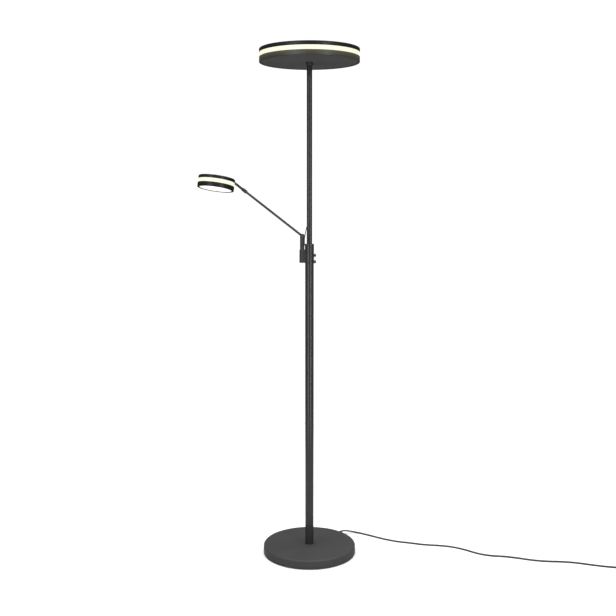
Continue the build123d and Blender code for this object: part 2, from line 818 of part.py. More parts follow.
with BuildPart() as tilt_screw:
    rod(knuckle_plane, tilt_screw_radius, -pin_face, 2 * pin_face)
    rod(knuckle_plane, knuckle_eye_radius - 0.4, -pin_face - 1.4, 1.4)
    rod(knuckle_plane, knuckle_eye_radius - 0.4, pin_face, 1.2)
    rod(knuckle_plane, 1.2, -pin_face - 2.0, 1.4, Mode.SUBTRACT)
pieces["tilt_screw"] = tilt_screw

# ---------------------------------------------------------------- reading head
head_lean = knuckle_plane.y_dir
outward = arm_direction * cos(radians(disc_pitch)) + head_lean * sin(radians(disc_pitch))
upward = head_lean * cos(radians(disc_pitch)) - arm_direction * sin(radians(disc_pitch))
reading_height = reading_lower_height + reading_band_height + reading_top_height
rim_point = knuckle_point + arm_direction * stem_length
disc_centre = rim_point + outward * reading_radius - upward * (reading_height - stem_drop)
disc_section = Plane(origin=disc_centre, x_dir=outward, z_dir=tilt_axis)
disc_plane = Plane(origin=disc_centre, x_dir=outward, z_dir=upward)
disc_axis = Axis(disc_centre, upward)
reading_inner = reading_radius - reading_wall
reading_band_bottom = reading_lower_height
reading_band_top = reading_lower_height + reading_band_height

with BuildPart() as reading_lower_ring:
    turned(
        [
            (reading_radius - lip_width, 0),
            (reading_radius - 0.8, 0),
            (reading_radius, 0.8),
            (reading_radius, reading_band_bottom),
            (reading_inner, reading_band_bottom),
            (reading_inner, 1.6),
            (reading_radius - lip_width, 1.6),
        ],
        disc_section,
        disc_axis,
    )
pieces["reading_lower_ring"] = reading_lower_ring

with BuildPart() as reading_diffuser:
    turned(ring_outline(0, reading_inner, 1.6, 3.6), disc_section, disc_axis)
pieces["reading_diffuser"] = reading_diffuser

with BuildPart() as reading_band:
    turned(
        ring_outline(reading_radius - 3.2, reading_radius - 0.2, reading_band_bottom, reading_band_top),
        disc_section,
        disc_axis,
    )
pieces["reading_band"] = reading_band

cup_roof = reading_height - 1.8
sink_bottom = cup_roof - 3.0
sink_radius = 44.0
led_board_radius = 50.0
with BuildPart() as reading_cup:
    turned(
        [
            (0, sink_bottom),
            (sink_radius, sink_bottom),
            (sink_radius, cup_roof),
            (reading_inner, cup_roof),
            (reading_inner, reading_band_top),
            (reading_radius, reading_band_top),
            (reading_radius, reading_height - 1.2),
            (reading_radius - 1.2, reading_height),
            (0, reading_height),
        ],
        disc_section,
        disc_axis,
    )
    stem_screw_plane = Plane(
        origin=disc_centre + upward * (reading_height - stem_drop), x_dir=upward, z_dir=outward * -1
    )
    rod(stem_screw_plane, stem_screw_radius, led_board_radius, 20, Mode.SUBTRACT)
    with Locations(disc_plane.offset(3.6)):
        with PolarLocations(54.0, 3):
            Cylinder(2.2, cup_roof - 2.6, align=UPRIGHT)
pieces["reading_cup"] = reading_cup

with BuildPart() as reading_led_board:
    turned(ring_outline(0, led_board_radius, sink_bottom - 1.6, sink_bottom), disc_section, disc_axis)
    with Locations(disc_plane.offset(sink_bottom - 1.6 - led_height)):
        for circle, count in ((16.0, 6), (34.0, 12)):
            with PolarLocations(circle, count):
                Box(led_length, led_width, led_height, align=UPRIGHT)
pieces["reading_led_board"] = reading_led_board

along_stem = Plane(origin=knuckle_point, x_dir=tilt_axis, z_dir=arm_direction)
tongue_thickness = knuckle_slot - 2 * running_gap
with BuildPart() as head_stem:
    with BuildSketch(knuckle_plane.offset(-tongue_thickness / 2)):
        Circle(5.4)
        with Locations((4.0, 0)):
            Rectangle(8.0, 2 * stem_radius - 0.6)
    extrude(amount=tongue_thickness)
    rod(along_stem, stem_radius, 7.4, stem_length)
    rod(knuckle_plane, tilt_screw_radius + running_gap, -10, 20, Mode.SUBTRACT)
    rod(disc_plane, reading_radius, -10, reading_height + 20, Mode.SUBTRACT)
    rod(stem_screw_plane, stem_screw_radius, led_board_radius, 16.0, Mode.SUBTRACT)
pieces["head_stem"] = head_stem

with BuildPart() as stem_screw:
    rod(stem_screw_plane, stem_screw_radius, reading_inner - 0.5, 5.3)
    rod(stem_screw_plane, stem_screw_radius + 1.3, reading_inner - 2.4, 2.1)
pieces["stem_screw"] = stem_screw

# ---------------------------------------------------------------- reading lead
lead_points = [
    (lead_outlet[0], lead_outlet[1], cap_top - 3.0),
    (lead_outlet[0], lead_outlet[1], 1137.0),
    (-4.6, -14.0, 1149.0),
    (-3.4, -20.5, 1161.0),
    (-3.6, -26.2, 1175.0),
    (-5.2, -27.6, 1187.6),
    (-6.6, -21.9, 1194.6),
    (-8.2, -13.4, 1194.6),
    (-10.0, -7.9, 1188.0),
    (-13.0, -6.9, 1175.0),
    (-16.2, -6.6, 1160.0),
    (-17.9, -6.0, 1144.0),
    (-17.4, -5.8, 1130.0),
    (-17.5, -6.1, 1119.5),
]
reading_lead, lead_length = tube_along("reading_lead", lead_points, lead_radius)
pieces["reading_lead"] = reading_lead

# ---------------------------------------------------------------- mains cord
floor_line = cord_radius + 0.1
coil_outer_lane = coil_mean_radius + cord_radius
cord_points = [
    toward(gland_azimuth, gland_tip - 10, gland_height),
    toward(gland_azimuth, gland_tip + 10.5, gland_height),
    (148.0, 177.5, 11.0),
    (173.0, 183.5, 4.4),
    (201.0, 172.0, floor_line),
    (236.0, 147.5, floor_line),
    (283.0, 113.0, floor_line),
    (330.0, 87.5, floor_line),
    (377.0, 75.0, floor_line),
    (428.0, 56.0, floor_line),
    (482.0, 49.5, floor_line),
    (531.0, 36.5, floor_line),
    (575.0, 9.0, floor_line),
    (613.0, -28.0, floor_line),
    (657.0, -48.5, floor_line),
    (706.0, -54.0, floor_line),
    (754.0, -69.5, floor_line),
    (802.0, -90.0, floor_line),
    (854.0, -99.5, floor_line),
    (907.0, -102.0, floor_line),
    (957.0, -113.5, floor_line),
    (1006.0, -133.0, floor_line),
    (1055.0, -148.0, floor_line),
    (1104.0, -156.5, floor_line),
    (coil_centre[0], coil_centre[1] - coil_outer_lane, floor_line + coil_lift),
]
power_cord, laid_length = tube_along("power_cord", cord_points, cord_radius)
pieces["power_cord"] = power_cord

coil_base = floor_line - cord_radius + coil_lift
coil_axis_plane = Plane(origin=(coil_centre[0], coil_centre[1], 0), x_dir=(1, 0, 0), z_dir=(0, -1, 0))
coil_axis = Axis((coil_centre[0], coil_centre[1], 0), (0, 0, 1))
with BuildPart() as cord_coil:
    turned(
        ring_outline(
            coil_mean_radius - coil_section / 2,
            coil_mean_radius + coil_section / 2,
            coil_base,
            coil_base + coil_height,
        ),
        coil_axis_plane,
        coil_axis,
    )
    fillet(cord_coil.edges().group_by(Axis.Z)[-1], 2.5)
pieces["cord_coil"] = cord_coil

tie_angle = 135.0
tie_wall = 0.9
tie_plane = Plane(
    origin=(
        coil_centre[0] + coil_mean_radius * cos(radians(tie_angle)),
        coil_centre[1] + coil_mean_radius * sin(radians(tie_angle)),
        coil_base + coil_height / 2,
    ),
    x_dir=(cos(radians(tie_angle)), sin(radians(tie_angle)), 0),
    z_dir=(-sin(radians(tie_angle)), cos(radians(tie_angle)), 0),
)
with BuildPart() as cord_tie:
    with BuildSketch(tie_plane.offset(-5)):
        RectangleRounded(coil_section + 1.2 + 2 * tie_wall, coil_height + 2 * tie_wall, 1.8)
        Rectangle(coil_section + 1.2, coil_height, mode=Mode.SUBTRACT)
    extrude(amount=10)
pieces["cord_tie"] = cord_tie

plug_height = plug_thickness / 2 + 0.1
plug_tail = 16.0
plug_x = coil_centre[0] + coil_outer_lane
plug_back = coil_centre[1] + 109.0
cord_end_points = [
    (plug_x, coil_centre[1] + 2.0, coil_base + coil_height - cord_radius),
    (plug_x - 0.4, coil_centre[1] + 22.0, 9.0),
    (plug_x - 1.6, coil_centre[1] + 44.0, 4.6),
    (plug_x - 1.0, coil_centre[1] + 66.0, 4.2),
    (plug_x, plug_back - plug_tail - 9.0, plug_height),
    (plug_x, plug_back - plug_tail, plug_height),
]
cord_end, end_length = tube_along("cord_end", cord_end_points, cord_radius)
pieces["cord_end"] = cord_end

plug_section = Plane(origin=(plug_x, plug_back, plug_height), x_dir=(1, 0, 0), z_dir=(0, 1, 0))
with BuildPart() as mains_plug:
    with BuildSketch(plug_section):
        RectangleRounded(14.0, 9.5, 4.2)
    with BuildSketch(plug_section.offset(14)):
        RectangleRounded(27.0, plug_thickness, 5.5)
    with BuildSketch(plug_section.offset(plug_length - 4)):
        RectangleRounded(plug_width - 1.0, plug_thickness, 5.5)
    loft(ruled=True)
    with BuildSketch(plug_section.offset(plug_length - 4)):
        RectangleRounded(plug_width - 1.0, plug_thickness, 5.5)
    extrude(amount=4)
    with BuildSketch(plug_section.offset(-plug_tail)):
        Circle(3.8)
    with BuildSketch(plug_section):
        Circle(4.6)
    loft()
pieces["mains_plug"] = mains_plug

with BuildPart() as plug_pins:
    with Locations(plug_section.offset(plug_length)):
        with Locations((-plug_pin_spacing / 2, 0), (plug_pin_spacing / 2, 0)):
            Cylinder(plug_pin_radius, plug_pin_length - 1, align=UPRIGHT)
            with Locations((0, 0, plug_pin_length - 1)):
                Cone(plug_pin_radius, plug_pin_radius - 0.8, 1.0, align=UPRIGHT)
pieces["plug_pins"] = plug_pins

coiled_length = cord_length - laid_length - end_length
coil_turns = coiled_length / (2 * pi * coil_mean_radius)
print(f"coiled length {coiled_length:.0f}, turns {coil_turns:.2f}")

# ---------------------------------------------------------------- write
for name, piece in pieces.items():
    piece.part.label = name
    export_step(piece.part, f"parts/{name}.step")
print(f"{len(pieces)} pieces; disc centre {disc_centre}, knuckle {knuckle_point}")
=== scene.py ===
"""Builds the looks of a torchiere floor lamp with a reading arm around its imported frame.

The frame is in metres, +Z up, with its origin on the floor on the pole's axis. +X is the side of the
dimmer knobs, -X the side of the reading arm, and the front of the lamp faces -Y. Sizes in the classes
are in millimetres, as a workshop drawing has them, and the mesh helpers turn them into metres. Cord
routes, seats, lights and the camera are in metres.
"""

import logging
from dataclasses import dataclass, field
from enum import Enum
from math import cos, pi, radians, sin, tan
from typing import Callable, Sequence

import bmesh
import bpy
from mathutils import Matrix, Vector
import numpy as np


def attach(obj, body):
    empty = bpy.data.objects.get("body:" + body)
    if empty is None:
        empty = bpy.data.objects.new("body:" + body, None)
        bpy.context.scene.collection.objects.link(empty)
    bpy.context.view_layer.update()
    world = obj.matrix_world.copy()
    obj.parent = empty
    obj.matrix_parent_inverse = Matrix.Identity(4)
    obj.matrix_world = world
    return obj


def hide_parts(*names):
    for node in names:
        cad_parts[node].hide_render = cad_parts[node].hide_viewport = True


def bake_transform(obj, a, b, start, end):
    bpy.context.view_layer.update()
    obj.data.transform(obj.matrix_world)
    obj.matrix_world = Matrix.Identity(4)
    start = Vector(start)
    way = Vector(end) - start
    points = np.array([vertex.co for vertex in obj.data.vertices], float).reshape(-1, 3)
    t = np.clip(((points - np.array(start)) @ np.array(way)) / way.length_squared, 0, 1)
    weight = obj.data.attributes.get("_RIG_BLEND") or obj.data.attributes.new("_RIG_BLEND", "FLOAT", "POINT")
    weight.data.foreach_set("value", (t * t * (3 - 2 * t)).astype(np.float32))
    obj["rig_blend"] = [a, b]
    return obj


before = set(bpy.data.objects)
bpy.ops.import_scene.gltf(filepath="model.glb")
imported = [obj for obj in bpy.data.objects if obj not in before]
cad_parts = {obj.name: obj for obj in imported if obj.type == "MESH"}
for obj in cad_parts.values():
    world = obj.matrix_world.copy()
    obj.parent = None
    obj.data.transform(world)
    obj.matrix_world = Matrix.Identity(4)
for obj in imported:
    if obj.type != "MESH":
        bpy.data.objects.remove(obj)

MM = 0.001
SMOOTH_ANGLE = radians(32)
NEARLY_NONE = 1e-6
ROUNDING_SHARE = 0.49
# The mix node has a pair of inputs for each kind of value. These are its places for colours.
MIX_FIRST, MIX_SECOND, MIX_RESULT = 6, 7, 2
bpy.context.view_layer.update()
log = logging.getLogger("lamp")

Colour = tuple[float, float, float]
Corner = tuple[float, float, float]
Point = tuple[float, float]
Place = tuple[float, float, float]
Thing = bpy.types.Object
Socket = bpy.types.NodeSocket


class Body(Enum):
    """The rigid bodies of the lamp."""

    LAMP = "lamp"
    POST = "post"
    ARM = "arm"
    KNUCKLE = "knuckle"
    READING_HEAD = "reading_head"
    HEAD_KNOB = "head_knob"
    READING_KNOB = "reading_knob"


class Slot(Enum):
    """The material slots of the lamp's record."""

    METAL = "black_metal"
    BAND = "opal_band"
    DIFFUSER = "opal_diffuser"
    FOAM = "foam_pad"
    STEEL = "screw_steel"
    PLASTIC = "black_plastic"
    CORD = "cord_rubber"
    PINS = "pin_brass"


class Work(Enum):
    """What a tool solid does to the piece it is used on."""

    JOIN = "UNION"
    CUT = "DIFFERENCE"
    TRIM = "INTERSECT"


# ---------------------------------------------------------------- finishes
class NodeBench:
    """A new material's node tree, with short calls for the nodes that the finishes share."""

    def __init__(self, name: str) -> None:
        """Start a material with one principled shader.

        Args:
            name: The material's name.
        """
        self.material = bpy.data.materials.new(name)
        self.material.use_nodes = True
        self.tree = self.material.node_tree
        self.tree.nodes.clear()
        self.shader = self.tree.nodes.new("ShaderNodeBsdfPrincipled")
        output = self.tree.nodes.new("ShaderNodeOutputMaterial")
        self.join(self.shader.outputs["BSDF"], output.inputs["Surface"])
        self.here = self.tree.nodes.new("ShaderNodeTexCoord").outputs["Object"]

    def join(self, source: Socket, target: Socket) -> None:
        """Link one socket to another."""
        self.tree.links.new(source, target)

    def fix(self, **values: float | tuple) -> None:
        """Set constants on the shader's own sockets, by name with underscores for spaces."""
        for name, value in values.items():
            self.shader.inputs[name.replace("_", " ")].default_value = value

    def grain(self, scale: float, detail: float = 3.0, stretch: Place = (1, 1, 1)) -> Socket:
        """Noise over the piece.

        Args:
            scale: Cells per metre.
            detail: Octaves of finer noise.
            stretch: How much faster the noise changes along each axis.

        Returns:
            The noise's value, about 0.3 to 0.7.
        """
        source = self.here
        if stretch != (1, 1, 1):
            mapping = self.tree.nodes.new("ShaderNodeMapping")
            mapping.inputs["Scale"].default_value = stretch
            self.join(source, mapping.inputs["Vector"])
            source = mapping.outputs["Vector"]
        noise = self.tree.nodes.new("ShaderNodeTexNoise")
        noise.inputs["Scale"].default_value = scale
        noise.inputs["Detail"].default_value = detail
        self.join(source, noise.inputs["Vector"])
        return noise.outputs["Fac"]

    def cells(self, scale: float) -> Socket:
        """Rounded cells over the piece, as the distance to each cell's middle."""
        voronoi = self.tree.nodes.new("ShaderNodeTexVoronoi")
        voronoi.feature = "SMOOTH_F1"
        voronoi.inputs["Scale"].default_value = scale
        self.join(self.here, voronoi.inputs["Vector"])
        return voronoi.outputs["Distance"]

    def tone(self, factor: Socket, low: Colour, high: Colour,
             start: float = 0.3, end: float = 0.7) -> Socket:
        """A colour that runs from one tone to another.

        Args:
            factor: What it runs with.
            low: The colour at the start.
            high: The colour at the end.
            start: The factor where it starts.
            end: The factor where it ends.

        Returns:
            The colour.
        """
        ramp = self.tree.nodes.new("ShaderNodeValToRGB")
        ramp.color_ramp.elements[0].position = start
        ramp.color_ramp.elements[0].color = (*low, 1)
        ramp.color_ramp.elements[1].position = end
        ramp.color_ramp.elements[1].color = (*high, 1)
        self.join(factor, ramp.inputs["Fac"])
        return ramp.outputs["Color"]

    def span(self, factor: Socket, low: float, high: float,
             start: float = 0.3, end: float = 0.7) -> Socket:
        """A number that runs from low to high while the factor runs from start to end."""
        node = self.tree.nodes.new("ShaderNodeMapRange")
        for name, value in (("From Min", start), ("From Max", end), ("To Min", low), ("To Max", high)):
            node.inputs[name].default_value = value
        self.join(factor, node.inputs["Value"])
        return node.outputs["Result"]

    def relief(self, height: Socket, depth: float) -> None:
        """Raise the surface's fine relief by a height times a depth in metres."""
        bump = self.tree.nodes.new("ShaderNodeBump")
        bump.inputs["Distance"].default_value = depth
        bump.inputs["Strength"].default_value = 1.0
        self.join(height, bump.inputs["Height"])
        self.join(bump.outputs["Normal"], self.shader.inputs["Normal"])

    def sum(self, first: Socket, second: Socket, share: float) -> Socket:
        """The first value plus a share of the second."""
        node = self.tree.nodes.new("ShaderNodeMath")
        node.operation = "MULTIPLY_ADD"
        node.inputs[1].default_value = share
        self.join(second, node.inputs[0])
        self.join(first, node.inputs[2])
        return node.outputs["Value"]

    def reach(self, centre: Place) -> Socket:
        """The distance in metres from a point."""
        node = self.tree.nodes.new("ShaderNodeVectorMath")
        node.operation = "DISTANCE"
        node.inputs[1].default_value = centre
        self.join(self.here, node.inputs[0])
        return node.outputs["Value"]

    def height(self) -> Socket:
        """The height above the floor in metres."""
        node = self.tree.nodes.new("ShaderNodeSeparateXYZ")
        self.join(self.here, node.inputs["Vector"])
        return node.outputs["Z"]


@dataclass(frozen=True)
class Finish:
    """A surface that is made once and shared by the pieces that have it."""

    name: str

    def material(self) -> bpy.types.Material:
        """The finish's material, made on first use."""
        found = bpy.data.materials.get(self.name)
        return found if found else self.make(NodeBench(self.name))

    def make(self, bench: NodeBench) -> bpy.types.Material:
        """Fill a bench with this finish's nodes."""
        raise NotImplementedError


@dataclass(frozen=True)
class PowderCoat(Finish):
    """Satin powder coat: a fine orange-peel skin, with a faint unevenness of tone and gloss."""

    dark: Colour = (0.026, 0.026, 0.0265)
    light: Colour = (0.034, 0.034, 0.0345)
    gloss: tuple[float, float] = (0.36, 0.46)
    reflection: float = 0.42
    peel: float = 0.00002
    streak: Place = (1, 1, 1)

    def make(self, bench: NodeBench) -> bpy.types.Material:
        """Lay the tone, the uneven gloss and the orange peel."""
        cloud = bench.grain(9.0, 4.0, self.streak)
        fine = bench.grain(420.0, 3.0, self.streak)
        bench.join(bench.tone(bench.sum(cloud, fine, 0.25), self.dark, self.light, 0.4, 0.85),
                   bench.shader.inputs["Base Color"])
        bench.join(bench.span(bench.sum(cloud, fine, 0.5), *self.gloss, 0.45, 1.05),
                   bench.shader.inputs["Roughness"])
        bench.relief(bench.sum(bench.cells(1300.0), bench.grain(2600.0, 2.0), 0.5), self.peel)
        bench.fix(Specular_IOR_Level=self.reflection)
        return bench.material


@dataclass(frozen=True)
class PaintedSpillCoat(PowderCoat):
    """Powder coat beside a lit band, with a painted glow: emission on the coat that stands in for the band's
    light spilling onto its edge.
    """

    edge_height: float = 1.7719
    fade: float = 0.0173
    painted_spill: Colour = (1.0, 0.98, 0.45)
    amount: float = 0.05
    faintest: float = 0.2

    def make(self, bench: NodeBench) -> bpy.types.Material:
        """Lay the coat, then the painted glow that fades away from the band."""
        PowderCoat.make(self, bench)
        # Painted light: the coat emits a faint glow, strongest at the band's edge, in place of the band's
        # spill light.
        faint = self.faintest * self.amount
        glow = bench.span(bench.height(), faint, self.amount, self.edge_height - self.fade, self.edge_height)
        bench.join(glow, bench.shader.inputs["Emission Strength"])
        bench.fix(Emission_Color=(*self.painted_spill, 1.0))
        return bench.material


@dataclass(frozen=True)
class LitBand(Finish):
    """Opal plastic lit from behind by a strip of small lamps."""

    low: Colour = (0.86, 0.86, 0.66)
    high: Colour = (0.93, 0.93, 0.74)
    body_low: Colour = (0.12, 0.117, 0.09)
    body_high: Colour = (0.15, 0.146, 0.115)
    strength: float = 1.0

    def make(self, bench: NodeBench) -> bpy.types.Material:
        """Lay the milky body and the slightly uneven glow."""
        cloud = bench.grain(26.0, 2.0)
        bench.join(bench.tone(cloud, self.body_low, self.body_high), bench.shader.inputs["Base Color"])
        bench.join(bench.tone(cloud, self.low, self.high), bench.shader.inputs["Emission Color"])
        bench.relief(bench.grain(900.0, 2.0), 0.000008)
        bench.fix(Emission_Strength=self.strength, Roughness=0.32, Specular_IOR_Level=0.4)
        return bench.material


@dataclass(frozen=True)
class LitPanel(Finish):
    """A frosted panel lit from behind, brightest in its middle and softly dimmer at its rim."""

    centre: Place = (0.0, 0.0, 0.0)
    radius: float = 0.06
    middle: Colour = (1.0, 0.99, 0.95)
    rim: Colour = (0.80, 0.78, 0.72)
    bright_to: float = 0.72
    dim_from: float = 1.04
    strength: float = 1.0

    def make(self, bench: NodeBench) -> bpy.types.Material:
        """Lay the glow by distance from the panel's centre, and the frosted skin."""
        away = bench.sum(bench.reach(self.centre), bench.grain(60.0, 2.0), 0.004)
        glow = bench.tone(away, self.middle, self.rim, 0.0, 1.0)
        ramp = glow.node.color_ramp
        ramp.elements[0].position = min(1.0, self.radius * self.bright_to)
        ramp.elements[1].position = min(1.0, self.radius * self.dim_from)
        bench.join(glow, bench.shader.inputs["Emission Color"])
        bench.join(bench.tone(bench.grain(500.0), (0.42, 0.42, 0.40), (0.48, 0.48, 0.46)),
                   bench.shader.inputs["Base Color"])
        bench.relief(bench.grain(1800.0, 3.0), 0.00001)
        bench.fix(Emission_Strength=self.strength, Roughness=0.55, Specular_IOR_Level=0.3)
        return bench.material


@dataclass(frozen=True)
class Moulding(Finish):
    """Moulded plastic or rubber with a fine eroded skin."""

    dark: Colour = (0.022, 0.022, 0.023)
    light: Colour = (0.032, 0.032, 0.033)
    gloss: tuple[float, float] = (0.42, 0.58)
    grain_size: float = 1500.0
    depth: float = 0.00003
    reflection: float = 0.4

    def make(self, bench: NodeBench) -> bpy.types.Material:
        """Lay the tone, the gloss and the eroded skin."""
        fine = bench.grain(self.grain_size, 4.0)
        cloud = bench.grain(45.0, 3.0)
        bench.join(bench.tone(bench.sum(cloud, fine, 0.4), self.dark, self.light, 0.45, 0.95),
                   bench.shader.inputs["Base Color"])
        bench.join(bench.span(fine, *self.gloss), bench.shader.inputs["Roughness"])
        bench.relief(fine, self.depth)
        bench.fix(Specular_IOR_Level=self.reflection)
        return bench.material


@dataclass(frozen=True)
class BareMetal(Finish):
    """Uncoated metal: turned, rolled or cast, with its tool marks along one axis."""

    dark: Colour = (0.42, 0.42, 0.43)
    light: Colour = (0.58, 0.58, 0.59)
    gloss: tuple[float, float] = (0.28, 0.42)
    mark_size: float = 700.0
    marks: Place = (1, 1, 6)
    depth: float = 0.000015
    metallic: float = 1.0

    def make(self, bench: NodeBench) -> bpy.types.Material:
        """Lay the metal's tone, its marks and its uneven polish."""
        marks = bench.grain(self.mark_size, 4.0, self.marks)
        bench.join(bench.tone(marks, self.dark, self.light), bench.shader.inputs["Base Color"])
        bench.join(bench.span(bench.grain(60.0), *self.gloss), bench.shader.inputs["Roughness"])
        bench.relief(marks, self.depth)
        bench.fix(Metallic=self.metallic)
        return bench.material


class Finishes:
    """Every finish on the lamp, by the part of it that has it."""

    coat = PowderCoat("black powder coat")
    tube_coat = PowderCoat("black tube coat", gloss=(0.20, 0.25), reflection=0.5, peel=0.000006,
                           streak=(3, 3, 0.4))
    base_coat = PowderCoat("black base coat", dark=(0.043, 0.043, 0.0435), light=(0.051, 0.051, 0.0515),
                           gloss=(0.40, 0.50), reflection=0.12)
    # Painted light: a lighter copy of the black coat for the head's underside, standing in for light bounced
    # up from the floor.
    bounce_lit_plate_coat = PowderCoat("black plate coat lightened as painted floor bounce", dark=(0.078, 0.078, 0.0785), light=(0.090, 0.090, 0.0905),
                            gloss=(0.40, 0.50), reflection=0.2)
    # Painted shade: a darker copy of the same black coat, for the top rim and the reading head's rings.
    shade_darkened_coat = PowderCoat("black coat darkened as painted shade", dark=(0.009, 0.009, 0.009), light=(0.013, 0.013, 0.013),
                           gloss=(0.34, 0.44), reflection=0.34)
    # Painted light: this coat emits a faint glow near the lit band.
    ring_coat_painted_glow = PaintedSpillCoat("black coat with painted band glow")
    band = LitBand("lit opal band")
    cord = Moulding("black cord sheath", gloss=(0.42, 0.55), grain_size=900.0, depth=0.00002)
    plastic = Moulding("black moulded plastic")
    foam = Moulding("black foam", dark=(0.02, 0.02, 0.02), light=(0.05, 0.05, 0.05), gloss=(0.8, 0.95),
                    grain_size=700.0, depth=0.0003)
    nylon = Moulding("dark nylon", dark=(0.06, 0.06, 0.06), light=(0.09, 0.09, 0.088), gloss=(0.35, 0.45))
    case = Moulding("pale moulded case", dark=(0.66, 0.66, 0.64), light=(0.74, 0.74, 0.72))
    board = Moulding("white circuit board", dark=(0.70, 0.71, 0.69), light=(0.80, 0.81, 0.79),
                     gloss=(0.3, 0.45), grain_size=320.0)
    iron = BareMetal("black cast iron", dark=(0.05, 0.05, 0.052), light=(0.11, 0.11, 0.112), gloss=(0.6, 0.8),
                     mark_size=380.0, marks=(1, 1, 1), depth=0.0002, metallic=0.6)
    steel = BareMetal("blackened steel", dark=(0.09, 0.09, 0.092), light=(0.16, 0.16, 0.162))
    zinc = BareMetal("zinc plated steel")
    aluminium = BareMetal("rolled aluminium", dark=(0.66, 0.66, 0.67), light=(0.80, 0.80, 0.81),
                          marks=(1, 8, 1), mark_size=240.0)
    brass = BareMetal("nickel washed brass", dark=(0.56, 0.48, 0.30), light=(0.74, 0.66, 0.46),
                      gloss=(0.16, 0.26), marks=(1, 6, 1))


# ---------------------------------------------------------------- mesh helpers
def seat(origin: Vector, up: Vector, facing: Vector) -> Matrix:
    """A frame to build in.

    Args:
        origin: Its place, in metres.
        up: The direction of its Z axis.
        facing: The direction of its X axis, as near as up allows.

    Returns:
        The matrix from that frame to the lamp's.
    """
    z = up.normalized()
    x = (facing - z * facing.dot(z)).normalized()
    y = z.cross(x)
    rotation = Matrix((x, y, z)).transposed().to_4x4()
    return Matrix.Translation(origin) @ rotation


def upright(x: float = 0.0, y: float = 0.0, z: float = 0.0) -> Matrix:
    """An upright seat at a place given in millimetres."""
    return Matrix.Translation(Vector((x, y, z)) * MM)


def rounded(corners: Sequence[Corner], steps: int = 5) -> list[Point]:
    """Round the corners of a closed outline.

    Args:
        corners: Each corner's two coordinates and its rounding radius, in millimetres.
        steps: How many chords each rounding has.

    Returns:
        The outline's points.
    """
    points: list[Point] = []
    for index, (x, y, radius) in enumerate(corners):
        corner = Vector((x, y))
        back = Vector(corners[index - 1][:2]) - corner
        ahead = Vector(corners[(index + 1) % len(corners)][:2]) - corner
        if radius <= 0:
            points.append((x, y))
            continue
        half = back.angle(ahead) / 2
        reach = min(radius / tan(half), ROUNDING_SHARE * back.length, ROUNDING_SHARE * ahead.length)
        centre = corner + (back.normalized() + ahead.normalized()).normalized() * reach / cos(half)
        first = corner + back.normalized() * reach - centre
        last = corner + ahead.normalized() * reach - centre
        turn = pi - 2 * half
        for step in range(steps + 1):
            share = step / steps
            spot = centre + (first * sin((1 - share) * turn) + last * sin(share * turn)) / sin(turn)
            points.append((spot.x, spot.y))
    return points


def arc(centre: Point, radius: float, start: float, end: float, steps: int) -> list[Point]:
    """Points on an arc, from a start to an end angle in degrees, both included."""
    turns = [radians(start + (end - start) * step / steps) for step in range(steps + 1)]
    return [(centre[0] + radius * cos(turn), centre[1] + radius * sin(turn)) for turn in turns]


def solid(name: str, rings: Sequence[Sequence[Vector]], closed: bool) -> Thing:
    """A piece whose skin runs over rings of points.

    Args:
        name: The piece's name.
        rings: Rings with the same number of points, or with one point where the skin closes on the axis.
        closed: Whether the last ring joins the first. If not, the end rings are filled with flat faces.

    Returns:
        The piece, shaded smooth with sharp corners kept.
    """
    shape = bmesh.new()
    made = [[shape.verts.new(point) for point in ring] for ring in rings]
    pairs = list(zip(made, made[1:] + made[:1])) if closed else list(zip(made, made[1:]))
    for low, high in pairs:
        count = max(len(low), len(high))
        if count == 1:
            continue
        for step in range(count):
            after = (step + 1) % count
            if len(low) == 1:
                shape.faces.new((low[0], high[after], high[step]))
            elif len(high) == 1:
                shape.faces.new((low[step], low[after], high[0]))
            else:
                shape.faces.new((low[step], low[after], high[after], high[step]))
    if not closed:
        shape.faces.new(reversed(made[0]))
        shape.faces.new(made[-1])
    bmesh.ops.recalc_face_normals(shape, faces=shape.faces)
    return piece_of(name, shape)


def piece_of(name: str, shape: bmesh.types.BMesh) -> Thing:
    """Turn a worked shape into a piece in the scene, and free the shape."""
    mesh = bpy.data.meshes.new(name)
    shape.to_mesh(mesh)
    shape.free()
    piece = bpy.data.objects.new(name, mesh)
    bpy.context.scene.collection.objects.link(piece)
    smooth(mesh)
    return piece


def smooth(mesh: bpy.types.Mesh) -> None:
    """Shade a mesh smooth, but for its sharp corners."""
    mesh.polygons.foreach_set("use_smooth", [True] * len(mesh.polygons))
    mesh.set_sharp_from_angle(angle=SMOOTH_ANGLE)


def turned(name: str, corners: Sequence[Corner], place: Matrix, segments: int = 128,
           flute: Callable[[float, float], float] | None = None) -> Thing:
    """Turn a closed outline about a seat's Z axis.

    Args:
        name: The piece's name.
        corners: The outline's radius, height and rounding at each corner, in millimetres.
        place: The seat.
        segments: How many sides the turning has.
        flute: How far the surface is cut in at an angle and a height, in millimetres, if it is fluted.

    Returns:
        The piece.
    """
    rings = []
    for radius, height in rounded(corners):
        if radius < NEARLY_NONE:
            rings.append([place @ (Vector((0, 0, height)) * MM)])
            continue
        ring = []
        for step in range(segments):
            angle = 2 * pi * step / segments
            reach = radius - (flute(angle, height) if flute else 0.0)
            ring.append(place @ (Vector((reach * cos(angle), reach * sin(angle), height)) * MM))
        rings.append(ring)
    return solid(name, rings, True)


